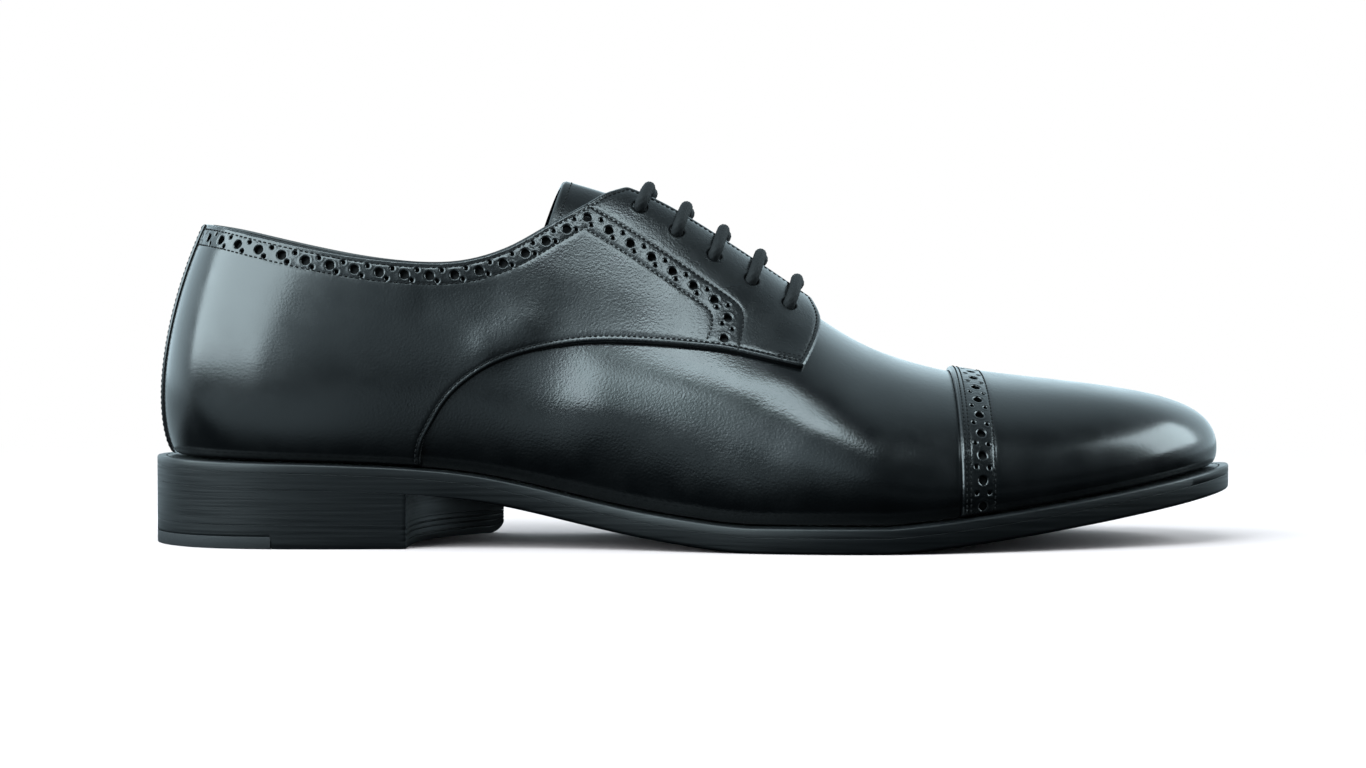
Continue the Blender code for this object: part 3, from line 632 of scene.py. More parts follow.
def hole_loops(panel, holes, wider=0.0):
    """The edges of round holes on the chart, clockwise."""
    centres = np.array([h.centre for h in holes])
    out = panel.normal(centres)
    first = unit(np.cross(out, (0.0, 1.0, 0.3)))
    by_first = panel.move(centres, first)
    by_second = panel.move(centres, np.cross(out, first))
    loops = []
    for hole, a, b in zip(holes, by_first, by_second):
        angles = -np.arange(hole.sides)[:, None] * 2 * math.pi / hole.sides
        loops.append(hole.centre + (hole.radius + wider) * (np.cos(angles) * a + np.sin(angles) * b))
    return loops


def crease_relief(points):
    """Height that the soft creases add at points of the upper."""
    relief = np.zeros(len(points))
    spot = points[:, [0, 2]]
    for crease in CREASES:
        away = np.full(len(points), np.inf)
        for start, end in zip(crease.line, crease.line[1:]):
            ahead = np.subtract(end, start)
            share = np.clip((spot - start) @ ahead / (ahead @ ahead), 0, 1)
            away = np.minimum(away, np.linalg.norm(spot - start - share[:, None] * ahead, axis=1))
        relief -= crease.depth * np.exp(-((away / crease.width) ** 2))
    above_welt = points[:, 2] - welt_top(points[:, 0])
    return relief - TUCK * np.clip(1 - above_welt / TUCK_HEIGHT, 0, 1) ** 2


Hole = namedtuple("Hole", "centre radius sides")


def past_holes(panel, holes, points):
    """How far points lie past the edge of the nearest hole."""
    centres = tree_of(panel.at(np.array([h.centre for h in holes])))
    near = [centres.find(p) for p in points]
    return np.array([n[2] - holes[n[1]].radius for n in near])


def fold_fall(rim, points):
    """How far points near a folded edge fall away."""
    near = np.clip(1 - distances(tree_of(rim), points) / FOLD_WIDTH, 0, 1)
    return FOLD_FALL * near**2


def fill_points(panel, outline, loops, holes, rim_lines, seams):
    """Chart points for a panel's mesh: its loops, rings round the holes, rows beside edges and
    seams, and a fill that is finer near them."""
    taken = [np.concatenate(loops)]

    def add(points, room):
        points = points[inside(outline, points)]
        spots = panel.at(points)
        clear = distances(tree_of(panel.at(np.concatenate(taken))), spots) > room
        taken.append(points[clear & (past_holes(panel, holes, spots) > HOLE_ROOM)])

    for step in RING_STEPS:
        add(np.concatenate(hole_loops(panel, holes, step)), RING_ROOM)
    for line in rim_lines:
        add(line, FOLD_ROOM)
    rows = [even(panel, seam, SEAM_STEP) for seam in seams]
    for step in SEAM_STEPS:
        add(np.concatenate([beside(panel, row, step) for row in rows]), SEAM_ROOM)
    guide = tree_of(panel.at(np.concatenate(taken)))
    low, high = outline.min(0), outline.max(0)
    fine = []
    for i, v in enumerate(np.arange(low[1], high[1], FILL_FINE / CHART_SCALE[1])):
        row = np.stack([np.linspace(low[0], high[0], 400), np.full(400, v)], -1)
        fine.append(even(panel, row, FILL_FINE)[i % 2 :])
    coarse = np.concatenate([row[::2] for row in fine[::2]])
    fine = np.concatenate(fine)
    fine = fine[distances(guide, panel.at(fine)) < FILL_NEAR]
    add(fine, 0.6 * FILL_FINE)
    add(coarse, 1.2 * FILL_FINE)
    return np.concatenate(taken)


def panel_relief(panel, base, rim, holes, seams):
    """Height added to a panel's points by creases, folded edges, hole rims and seams."""
    relief = crease_relief(base) - fold_fall(panel.at(rim), base)
    past = past_holes(panel, holes, base)
    relief -= RIM_FALL * np.clip(1 - past / RIM_WIDTH, 0, 1) ** 2
    relief += RIM_RAISE * np.exp(-(((past - RIM_PAST) / RIM_SPREAD) ** 2))
    rows = tree_of(panel.at(np.concatenate([even(panel, seam, SEAM_STEP / 2) for seam in seams])))
    relief -= SEAM_DEPTH * np.exp(-((distances(rows, base) / SEAM_WIDTH) ** 2))
    return relief


def cut_panel(name, panel, outline, holes, seams, material, joined=None):
    """A closed piece of leather with folded edges, punched holes and sunk seams.

    joined marks the outline points on a line where the panel is joined to itself.
    """
    whole = joined is None
    joined = np.zeros(len(outline), bool) if whole else joined
    loops = [outline] + hole_loops(panel, holes)
    rim = outline[~joined]
    rim_lines = [inset_line(panel, rim, step, whole) for step in FOLD_STEPS]
    chart = fill_points(panel, outline, loops, holes, rim_lines, seams)
    edges, starts = [], [0]
    for loop in loops:
        first, count = starts[-1], len(loop)
        edges += [(first + i, first + (i + 1) % count) for i in range(count)]
        starts.append(first + count)
    plan = [Vector(p) for p in (chart * CHART_SCALE).tolist()]
    made = delaunay_2d_cdt(plan, edges, [], 2, 1e-7)
    source = [o[0] for o in made[3]]
    faces = [tuple(source[i] for i in f) for f in made[2]]
    ring = np.repeat(np.arange(len(loops) + 1), [len(x) for x in loops] + [len(chart) - starts[-1]])
    in_hole = [0 < ring[f[0]] < len(loops) and len({ring[i] for i in f}) == 1 for f in faces]
    faces = [f for f, punched in zip(faces, in_hole) if not punched]
    base = panel.at(chart)
    relief = panel_relief(panel, base, even(panel, rim, 0.15, whole), holes, seams)
    top = base + relief[:, None] * panel.normal(chart)
    size = len(chart)
    faces += [tuple(size + i for i in reversed(f)) for f in faces]
    for k, loop in enumerate(loops):
        for i in range(len(loop)):
            j = (i + 1) % len(loop)
            if k > 0 or not (joined[i] and joined[j]):
                a, b = starts[k] + i, starts[k] + j
                faces.append((size + a, size + b, b, a))
    points = np.concatenate([top, panel.at(chart, low=True)])
    return new_piece(name, points, faces, [material], "black_calf", weld=not whole)


def new_piece(name, points, faces, materials, slot, indices=None, weld=False, sharp=38):
    """An object from points in millimetres, riding on the shoe's one body."""
    mesh = bpy.data.meshes.new(name)
    mesh.from_pydata((np.asarray(points) - ORIGIN) * MM, [], faces)
    for material in materials:
        mesh.materials.append(material)
    if indices is not None:
        mesh.polygons.foreach_set("material_index", indices)
    if weld:
        work = bmesh.new()
        work.from_mesh(mesh)
        bmesh.ops.remove_doubles(work, verts=work.verts, dist=0.002 * MM)
        work.to_mesh(mesh)
        work.free()
    mesh.shade_smooth()
    mesh.set_sharp_from_angle(angle=math.radians(sharp))
    made = bpy.data.objects.new(name, mesh)
    bpy.context.scene.collection.objects.link(made)
    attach(made, "root")
    return made


def band_faces(count, low, high):
    """Quads between two rings of count points, given by the first point of each."""
    pairs = [(j, (j + 1) % count) for j in range(count)]
    return [(low + j, low + k, high + k, high + j) for j, k in pairs]


STITCH_SIDES = 6
STITCH_RINGS = ((-0.4, -0.55), (-0.2, 0.0), (0.2, 0.0), (0.4, -0.55))  # along, rise in radii
STITCH_SHAPE = np.array(
    [(-0.5, 0, -1.2)]
    + [
        (x, math.cos(2 * math.pi * k / STITCH_SIDES), up + math.sin(2 * math.pi * k / STITCH_SIDES))
        for x, up in STITCH_RINGS
        for k in range(STITCH_SIDES)
    ]
    + [(0.5, 0, -1.2)]
)


def stitch_faces():
    """Faces of one stitch: a point, rings of thread, and a point."""
    around = [(k, (k + 1) % STITCH_SIDES) for k in range(STITCH_SIDES)]
    last = len(STITCH_SHAPE) - 1
    faces = [(0, 1 + b, 1 + a) for a, b in around]
    for ring in range(len(STITCH_RINGS) - 1):
        first = 1 + ring * STITCH_SIDES
        faces += band_faces(STITCH_SIDES, first, first + STITCH_SIDES)
    return faces + [(last - STITCH_SIDES + a, last - STITCH_SIDES + b, last) for a, b in around]


STITCH_FACES = stitch_faces()


class Thread:
    """All stitches of the shoe, gathered into one mesh."""

    def __init__(self):
        self.points = []
        self.faces = []

    def sew(self, places, normals, length, radius):
        ahead = unit(np.gradient(places, axis=0))
        side = np.cross(normals, ahead)
        for place, a, s, n in zip(places, ahead, side, normals):
            start = len(self.points)
            x, y, z = STITCH_SHAPE.T
            self.points.extend(
                place + length * x[:, None] * a + radius * (y[:, None] * s + z[:, None] * n)
            )
            self.faces.extend(tuple(start + i for i in f) for f in STITCH_FACES)

    def sew_seam(self, panel, seam, pitch=STITCH_PITCH):
        line = even(panel, seam, pitch)
        normals = panel.normal(line)
        base = panel.at(line)
        sunk = crease_relief(base) - SEAM_DEPTH + 0.4 * STITCH_RADIUS
        places = base + sunk[:, None] * normals
        self.sew(places, normals, STITCH_LENGTH * pitch / STITCH_PITCH, STITCH_RADIUS)


def quarter_spot(chart):
    """The quarters' chart: turn, negative on the inner side, and share."""
    return chart[..., 0], chart[..., 1]


def ridge_spot(chart):
    """The cap's chart: turn, and way across from the outer seat (-1) to the inner seat (1)."""
    turn, across = chart[..., 0], chart[..., 1]
    return np.where(across > 0, LOOP - turn, turn), 1 - np.abs(across)


QUARTER = Panel(quarter_spot, quarter_low, quarter_high)
CAP = Panel(ridge_spot, level(GAP), level(GAP + OVERLAY))


def quarter_edges(inner_side):
    """A quarter's lower edge, front edge and upper edge, on the chart, heel to toe."""
    side = -1 if inner_side else 1
    vamp = edge_line(VAMP_EDGE, 120).T
    vamp = vamp[vamp[:, 1] > VAMP_FOOT]
    climb = QUARTER.find(vamp, inner_side)
    climb = climb[climb[:, 1] > SEAT_CLEAR]
    foot = np.array([[climb[0, 0], 0.0]])
    seat = np.stack([side * np.linspace(0, abs(climb[0, 0]), 160)[:-1], np.zeros(159)], -1)
    front = QUARTER.find(edge_line(FACING_FRONT, 60).T, inner_side)
    tops = quarter_tops(front[:, 0])
    front = front[front[:, 1] < tops - SEAT_CLEAR]
    turns = side * np.linspace(abs(front[-1, 0]), 0, 700)
    upper = np.stack([turns, quarter_tops(turns)], -1)
    return np.concatenate([seat, foot, climb]), front[1:], upper


def soften(line, passes, closed=True):
    """A line with its corners rounded."""
    for _ in range(passes):
        smoother = (np.roll(line, 1, axis=0) + 2 * line + np.roll(line, -1, axis=0)) / 4
        if not closed:
            smoother[0], smoother[-1] = line[0], line[-1]
        line = smoother
    return line


def band_lines(inner_side):
    """The facing band's two seams and the middle between them, on the chart."""
    lace = edge_line([Edge(b.lace_x, b.lace_z) for b in FACING_BAND], 60).T
    heel = edge_line([Edge(b.heel_x, b.heel_z) for b in FACING_BAND], 60).T
    return [QUARTER.find(line, inner_side) for line in (lace, heel, (lace + heel) / 2)]


def punched_row(panel, line, pitch, sides=(HOLE_SIDE, -HOLE_SIDE), ahead=HOLE_AHEAD):
    """Large holes along a line with small ones between them, to both sides."""
    middles = even(panel, line, pitch)
    holes = [Hole(c, LARGE_HOLE, 22) for c in middles]
    fine = even(panel, line, pitch / 50)
    for side, share in zip(sides, ahead):
        moved = beside(panel, fine, side)
        count = (len(fine) - 1) / (len(middles) - 1)
        places = [int((k + share) * count) for k in range(len(middles) - 1)]
        holes += [Hole(moved[p], SMALL_HOLE, 14) for p in places]
    return holes


def eyelet_places():
    """Stations and heights of the eyelets on the outer facing, top to bottom."""
    first, last = np.array(EYELET_FIRST), np.array(EYELET_LAST)
    return np.array([first + (last - first) * i / (EYELETS - 1) for i in range(EYELETS)])


def make_quarters(calf, thread):
    """Both quarters with their facings, collar band, facing band and eyelets."""
    halves, holes, seams = [], [], []
    for inner_side in (False, True):
        lower, front, upper = quarter_edges(inner_side)
        halves.append(np.concatenate([lower, front, upper]))
        lace_seam, heel_seam, middle = band_lines(inner_side)
        outward = 1 if inner_side else -1
        collar = upper[::-1]
        collar = collar[np.abs(collar[:, 0]) > STRIP_ROOM]
        collar = collar[np.abs(collar[:, 0]) <= abs(lace_seam[0, 0]) + 0.01]
        below = beside(QUARTER, collar, outward * COLLAR_SEAM)
        below = below[np.abs(below[:, 0]) < abs(heel_seam[0, 0])]
        row = beside(QUARTER, collar, outward * COLLAR_HOLES)
        row = row[np.abs(row[:, 0]) < abs(middle[0, 0]) - 0.02]
        row = row[np.abs(row[:, 0]) > HOLES_FROM]
        holes += punched_row(QUARTER, np.concatenate([row, middle[:1]]), HOLE_PITCH)
        facing_row = punched_row(QUARTER, middle[:56], HOLE_PITCH)
        holes += [h for h in facing_row if np.abs(h.centre - middle[0]).max() > 1e-6]
        holes += [Hole(c, EYELET_HOLE, 24) for c in QUARTER.find(eyelet_places(), inner_side)]
        seams += [np.concatenate([below, heel_seam]), lace_seam]
        open_line = np.concatenate([lower[150:], front, upper[np.abs(upper[:, 0]) > STRIP_ROOM]])
        open_line = even(QUARTER, open_line, SEAM_STEP)
        seams.append(inset_line(QUARTER, open_line, -outward * EDGE_SEAM))
    outline = even(QUARTER, outline_order(halves), OUTLINE_STEP, closed=True)
    outline = soften(outline, 2)
    made = cut_panel("quarter_leather", QUARTER, outline, holes, seams, calf)
    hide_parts("quarters")
    for seam in seams:
        thread.sew_seam(QUARTER, seam)
    tack = np.linspace(*BAR_TACK, 12)
    for inner_side in (False, True):
        for drop in (0, BAR_TACK_APART):
            thread.sew_seam(QUARTER, QUARTER.find(tack - (0, drop), inner_side))


def outline_order(halves):
    """Both halves of the quarters as one loop, anticlockwise on the chart."""
    outer, inner = halves
    return np.concatenate([outer[:-1], inner[::-1][:-1]])


def cap_edge(across):
    """Turn of the cap's rear edge at each way across."""
    turns = np.linspace(9.0, HALF, 400)
    found = []
    for a in across:
        chart = np.stack([turns, np.full(400, a)], -1)
        found.append(np.interp(CAP_LINE_X, last_surface(*ridge_spot(chart))[:, 0], turns))
    return np.array(found)


def make_toe_cap(calf, thread):
    """Cap with a punched band behind its edge, joined to itself down the tip of the toe."""
    across = np.linspace(1, -1, 300)
    rear = np.stack([cap_edge(across), across], -1)
    rear = even(CAP, rear, OUTLINE_STEP)
    outer = np.stack([np.linspace(rear[-1, 0], HALF, 200), np.full(200, -1.0)], -1)
    tip_way = np.linspace(-1, 1, 121)
    tip = np.stack([np.full(121, float(HALF)), tip_way], -1)
    inner = np.stack([np.linspace(HALF, rear[0, 0], 200), np.full(200, 1.0)], -1)
    outer, inner = even(CAP, outer, TIP_STEP), even(CAP, inner, TIP_STEP)
    outline = np.concatenate([outer[:-1], tip[:-1], inner[:-1], rear[:-1]])
    seams = [beside(CAP, rear, d)[2:-2] for d in CAP_SEAMS]
    middle = beside(CAP, rear, CAP_HOLES)
    middle = even(CAP, middle, 0.4)[6:-6]
    holes = punched_row(CAP, middle, CAP_PITCH, (CAP_PAIR, -CAP_PAIR), (0.5, 0.5))
    joined = outline[:, 0] > HALF - 1e-9
    made = cut_panel("toe_cap_leather", CAP, outline, holes, seams, calf, joined)
    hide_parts("toe_cap")
    for seam in seams:
        thread.sew_seam(CAP, seam)


def grid_faces(columns, rows, first=0):
    """Quads over a grid of points stored column by column."""
    return [
        (
            first + j * rows + i,
            first + (j + 1) * rows + i,
            first + (j + 1) * rows + i + 1,
            first + j * rows + i + 1,
        )
        for j in range(columns - 1)
        for i in range(rows - 1)
    ]


def grid_rim(columns, rows):
    """The points around a grid's edge, anticlockwise."""
    bottom = [j * rows for j in range(columns)]
    right = [(columns - 1) * rows + i for i in range(1, rows)]
    top = [j * rows + rows - 1 for j in range(columns - 2, -1, -1)]
    left = list(range(rows - 2, 0, -1))
    return bottom + right + top + left


def grid_panel(name, turns, shares, low, high, material, slot):
    """A closed piece over a grid of turns and shares, with folded edges."""
    columns, rows = turns.shape
    base = offset_surface(turns, shares, high(turns, shares)).reshape(-1, 3)
    rim = grid_rim(columns, rows)
    closed = np.array(rim + rim[:1])
    line = base[closed]
    dense = np.concatenate([line[:-1] + (line[1:] - line[:-1]) * s for s in (0, 0.25, 0.5, 0.75)])
    normals = last_normal(turns, shares).reshape(-1, 3)
    top = base - fold_fall(dense, base)[:, None] * normals
    under = offset_surface(turns, shares, low(turns, shares)).reshape(-1, 3)
    size = len(base)
    faces = grid_faces(columns, rows)
    faces += [tuple(size + i for i in reversed(f)) for f in faces]
    faces += [(size + a, size + b, b, a) for a, b in zip(closed[:-1], closed[1:])]
    return new_piece(name, np.concatenate([top, under]), faces, [material], slot)


def packed_ends(count, end_share=0.03):
    """Shares from 0 to 1 with extra ones near both ends, where an edge is folded."""
    ends = np.array([0, 0.12, 0.3, 0.6]) * end_share
    return np.concatenate([ends, np.linspace(end_share, 1 - end_share, count), 1 - ends[::-1]])


def make_back_strip(calf, thread):
    """Strip over the seam at the back of the heel, sewn down along both edges."""
    base = QUARTER_GAP + OVERLAY + 0.05
    across = STRIP_TURN * (2 * packed_ends(9, 0.14) - 1)
    tops = first_above(across, level(base + STRIP_THICK), over_collar)
    shares = tops[:, None] * packed_ends(90, 0.02)
    turns = np.repeat(across[:, None], shares.shape[1], axis=1)
    made = grid_panel(
        "back_strip_leather", turns, shares, level(base), level(base + STRIP_THICK), calf, "black_calf"
    )
    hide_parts("back_strip")
    strip = Panel(quarter_spot, level(base), level(base + STRIP_THICK))
    edge = np.stack([np.full(80, STRIP_TURN), np.linspace(0.01, tops[0] - 0.01, 80)], -1)
    for side in (1, -1):
        thread.sew_seam(strip, beside(strip, edge * (side, 1), side * STRIP_SEAM))


def turn_at(stations):
    """Turn on the outer side whose section reaches the ridge at a station."""
    turns = np.linspace(0, HALF, 400)
    return np.interp(stations, SPINE_X(turns)[0], turns)


def tongue_drop(turn):
    return TONGUE_DROP + TONGUE_TUCK * smooth(SPINE_X(turn)[0], *TONGUE_TUCK_SPAN)


def tongue_high(turn, share):
    return -tongue_drop(turn)


def tongue_low(turn, share):
    return -tongue_drop(turn) - TONGUE_THICK


def tongue_grid(across, lengths):
    """Turns and shares of the tongue, by way across and way from its upper edge to the vamp."""
    back = TONGUE_TOP_X - TONGUE_ROUND * np.abs(across) ** 1.5
    stations = back + lengths * (TONGUE_FRONT_X - back)
    low = TONGUE_WING[0] + lengths * (TONGUE_WING[1] - TONGUE_WING[0])
    turns = turn_at(stations)
    return np.where(across > 0, LOOP - turns, turns), 1 - (1 - low) * np.abs(across)


def make_tongue(calf, thread):
    """Flap under the facings, with a seam along its upper edge."""
    across = 2 * packed_ends(61, 0.012) - 1
    lengths = packed_ends(70, 0.012)[:, None]
    turns, shares = tongue_grid(across, lengths)
    made = grid_panel(
        "tongue_leather", turns, shares, tongue_low, tongue_high, calf, "black_calf"
    )
    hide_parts("tongue")
    way = np.linspace(-0.93, 0.93, 90)
    places = offset_surface(*tongue_grid(way, 0.03), tongue_high(tongue_grid(way, 0.03)[0], 0))
    normals = last_normal(*tongue_grid(way, 0.03))
    gone = gone_along(places)
    stops = np.arange(0, gone[-1], STITCH_PITCH)
    spread = [at_lengths(stops, gone, values) for values in (places, normals)]
    thread.sew(*spread, STITCH_LENGTH, STITCH_RADIUS)


def covered(turns, shares, edges):
    """Which places of the upper lie well under a quarter or the toe cap."""
    signed = np.where(turns > HALF, turns - LOOP, turns)
    chart = np.stack([signed, shares], -1)
    spots = last_surface(turns, shares)
    under = np.zeros(len(turns), bool)
    for lower, front, upper in edges:
        under |= inside(np.concatenate([lower, front, upper, [[0.0, 0.0]]]), chart)
        open_edge = np.concatenate([lower[np.abs(lower[:, 1]) > SEAT_CLEAR], front])
        under &= distances(tree_of(last_surface(*open_edge.T)), spots) > 2.0
    return under | (spots[:, 0] > CAP_LINE_X + 2.0)


def make_upper(calf, lining, backing):
    """Vamp outside and lining inside, one hollow wall, open at collar, throat and underneath."""
    columns_half, rows = 150, 46
    half = np.linspace(0, HALF, columns_half + 1)
    turns = np.concatenate([half, LOOP - half[-2:0:-1]])
    tops = upper_tops(turns)
    columns = len(turns)
    grid_turn = np.repeat(turns[:, None], rows + 1, axis=1)
    grid_share = tops[:, None] * np.linspace(0, 1, rows + 1)
    size = columns * (rows + 1)
    points = []
    for offset in (0.0, -WALL):
        grid = offset_surface(grid_turn, grid_share, np.full(grid_turn.shape, offset))
        if offset == 0:
            lift = crease_relief(grid.reshape(-1, 3)).reshape(grid.shape[:2])
            grid += lift[..., None] * last_normal(grid_turn, grid_share)
        for j in range(1, columns_half):
            if tops[j] == 1:
                grid[j, -1] = grid[-j, -1] = (grid[j, -1] + grid[-j, -1]) / 2
        points.extend(grid.reshape(-1, 3))

    def corner(face, j, i):
        j %= columns
        if i == rows and tops[j] == 1:
            j = min(j, columns - j)
        return face * size + j * (rows + 1) + i

    edges = [quarter_edges(inner_side) for inner_side in (False, True)]
    hidden = covered(grid_turn.ravel(), grid_share.ravel(), edges).reshape(grid_turn.shape)
    faces, finish = [], []
    for j in range(columns):
        for i in range(rows):
            ring = ((j, i), (j + 1, i), (j + 1, i + 1), (j, i + 1))
            outside = tuple(dict.fromkeys(corner(0, *c) for c in ring))
            faces.append(outside)
            faces.append(tuple(i + size for i in reversed(outside)))
            finish += [2 if hidden[j, i] else 0, 1]
        ends = [(0, True)]
        if min(tops[j], tops[(j + 1) % columns]) < 1:
            ends.append((rows, False))
        for i, flip in ends:
            ring = (corner(0, j, i), corner(0, j + 1, i), corner(1, j + 1, i), corner(1, j, i))
            faces.append(ring[::-1] if flip else ring)
            finish.append(1)
    made = new_piece(
        "vamp_and_lining", points, faces, [calf, lining, backing], "black_calf", indices=finish
    )
    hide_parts("upper")


def ring_piece(name, rings, material, slot, closed_ring=False):
    """A solid from rings of points of equal count, low to high; closed_ring joins last to first."""
    count = len(rings[0])
    points = np.concatenate(rings)
    starts = list(range(0, len(points), count))
    pairs = list(zip(starts, starts[1:]))
    if closed_ring:
        pairs.append((starts[-1], 0))
    faces = [face for low, high in pairs for face in band_faces(count, low, high)]
    if not closed_ring:
        half = count // 2
        for start, flip in ((0, True), (starts[-1], False)):
            cap = [(start, start + 1, start + count - 1)]
            cap += [
                (start + j, start + j + 1, start + count - j - 1, start + count - j)
                for j in range(1, half - 1)
            ]
            cap.append((start + half - 1, start + half, start + half + 1))
            faces += [c[::-1] for c in cap] if flip else cap
    return new_piece(name, points, faces, [material], slot)


OUTLINE_STEPS = 480
OUTLINE_TURNS = np.arange(OUTLINE_STEPS) * LOOP / OUTLINE_STEPS


def sole_ring(inset, height):
    """Points around the sole at an inset, at a height given by station."""
    x, y = sole_edge(OUTLINE_TURNS, np.broadcast_to(inset, OUTLINE_TURNS.shape))
    return np.stack([x, y, height(x)], -1)


# Side of the welt and outsole: inset and height over the outsole's top or underside.
WELT_PROFILE = (
    (WELT_WIDTH, 0.0),
    (0.06, 0.0),
    (0.0, 0.07),
    (0.0, WELT_THICK - 0.6),
    (0.1, WELT_THICK - 0.3),
    (0.32, WELT_THICK - 0.08),
    (0.65, WELT_THICK),
    (1.9, WELT_THICK),
    (2.6, WELT_THICK - 0.14),
    (3.3, WELT_THICK),
    (WELT_WIDTH, WELT_THICK),
)
# The outsole's lower edge is rounded from the arch to the toe, and square over the heel.
OUTSOLE_LOWER = ((14.0, 0.0), (3.0, 0.0), (0.9, 0.0), (0.4, 0.14), (0.1, 0.5), (0.0, 1.0))
OUTSOLE_SQUARE = ((14.0, 0.0), (3.0, 0.0), (0.09, 0.0), (0.06, 0.01), (0.0, 0.06), (0.0, 0.1))
OUTSOLE_UPPER = ((0.0, OUTSOLE_THICK - 0.07), (0.06, OUTSOLE_THICK), (14.0, OUTSOLE_THICK))
ROUND_FROM = (76.0, 104.0)
INSOLE_PROFILE = (
    (0.0, 0.0),
    (0.0, INSOLE_THICK - 0.7),
    (0.25, INSOLE_THICK - 0.2),
    (0.8, INSOLE_THICK),
)
WELT_SEAM = 2.6  # from the welt's edge
WELT_PITCH = 2.9
WELT_STITCH = 0.8 * WELT_PITCH
WELT_THREAD = 0.34  # radius
WELT_SUNK = 0.3  # how far the thread lies in its groove
HAIRLINE = 0.03  # joint between glued leathers


def make_sole(edge, lining, thread):
    """Outsole, welt with its seam, and insole."""
    rings = [
        sole_ring(inset, lambda x, up=up: outsole_top(x) + HAIRLINE + up)
        for inset, up in WELT_PROFILE
    ]
    welt = ring_piece("welt_strip", rings, edge, "edge_leather", closed_ring=True)
    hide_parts("welt")
    rounded = smooth(sole_edge(OUTLINE_TURNS)[0], *ROUND_FROM)
    rings = []
    for (inset, up), (square_inset, square_up) in zip(OUTSOLE_LOWER, OUTSOLE_SQUARE):
        ring = sole_ring(square_inset + (inset - square_inset) * rounded, tread_height)
        ring[:, 2] += square_up + (up - square_up) * rounded
        rings.append(ring)
    rings += [sole_ring(inset, lambda x, up=up: tread_height(x) + up) for inset, up in OUTSOLE_UPPER]
    outsole = ring_piece("outsole_leather", rings, edge, "edge_leather")
    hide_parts("outsole")
    rings = [
        sole_ring(
            INSET(OUTLINE_TURNS)[0] + INSOLE_INSET + inset,
            lambda x, up=up: welt_top(x) + GAP + up,
        )
        for inset, up in INSOLE_PROFILE
    ]
    insole = ring_piece("insole_sock", rings, lining, "insole_leather")
    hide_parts("insole")
    line = sole_ring(WELT_SEAM, lambda x: welt_top(x) - GAP + HAIRLINE - WELT_SUNK)
    line = np.concatenate([line, line[:1]])
    gone = gone_along(line)
    places = at_lengths(np.arange(0, gone[-1], WELT_PITCH), gone, line)
    upright = np.tile((0.0, 0.0, 1.0), (len(places), 1))
    thread.sew(places, upright, WELT_STITCH, WELT_THREAD)


def breast_station(y):
    share = np.clip((y - BREAST_OUTER_Y) / (BREAST_INNER_Y - BREAST_OUTER_Y), 0, 1.2)
    return BREAST_OUTER_X + BREAST_SWEEP * share**BREAST_CURVE


def heel_outline(front):
    """The sole's edge round the heel, closed by a front line given as a station for each y."""
    turns = np.linspace(0, HALF, 1500)
    outer = np.stack(sole_edge(turns), -1)
    inner = np.stack(sole_edge(LOOP - turns), -1)
    outer = outer[outer[:, 0] < front(outer[:, 1])]
    inner = inner[inner[:, 0] < front(inner[:, 1])]
    across = np.linspace(inner[-1, 1], outer[-1, 1], 60)
    line = np.stack([front(across), across], -1)
    return np.concatenate([inner[::-1], outer[1:], line[::-1]])


def even_loop(loop, count):
    """A closed plan outline's points, spread evenly."""
    loop = np.concatenate([loop, loop[:1]])
    gone = gone_along(loop)
    return at_lengths(np.arange(count) * gone[-1] / count, gone, loop)


def shrink(loop, inset):
    """A closed plan outline moved in, by one distance or one for each point."""
    ahead = unit(np.roll(loop, -1, axis=0) - np.roll(loop, 1, axis=0))
    return loop + np.reshape(inset, (-1, 1)) * np.stack([-ahead[:, 1], ahead[:, 0]], -1)


def layered_block(name, outline, profile, bottom, top, material, slot):
    """A heel layer: rings of an outline by inset and share of the way from bottom to top."""
    rings = []
    for inset, share, up in profile:
        ring = shrink(outline, inset)
        height = bottom(ring) + share * (top(ring) - bottom(ring)) + up
        rings.append(np.concatenate([ring, height[:, None]], 1))
    count = len(outline)
    points = np.concatenate(rings)
    starts = range(0, len(points), count)
    faces = [face for low in starts[:-1] for face in band_faces(count, low, low + count)]
    faces.append(tuple(range(count))[::-1])
    faces.append(tuple(range(starts[-1], len(points))))
    return new_piece(name, points, faces, [material], slot)


def flat(height):
    return lambda ring: np.full(len(ring), float(height))


# Sides of heel layers: inset, share of the way from bottom to top, and height added.
LAYER_LOWER = ((0.06, 0.0, 0.0), (0.0, 0.0, 0.06))
LAYER_UPPER = ((0.0, 1.0, -0.06), (0.06, 1.0, 0.0))
FLOOR_LOWER = ((0.25, 0.0, 0.0), (0.07, 0.0, 0.06), (0.0, 0.0, 0.2))
LIFT_LAYERS = (0.32, 0.58, 0.8)  # layers of the top lift that show on its front
LAYER_GROOVE = 0.22


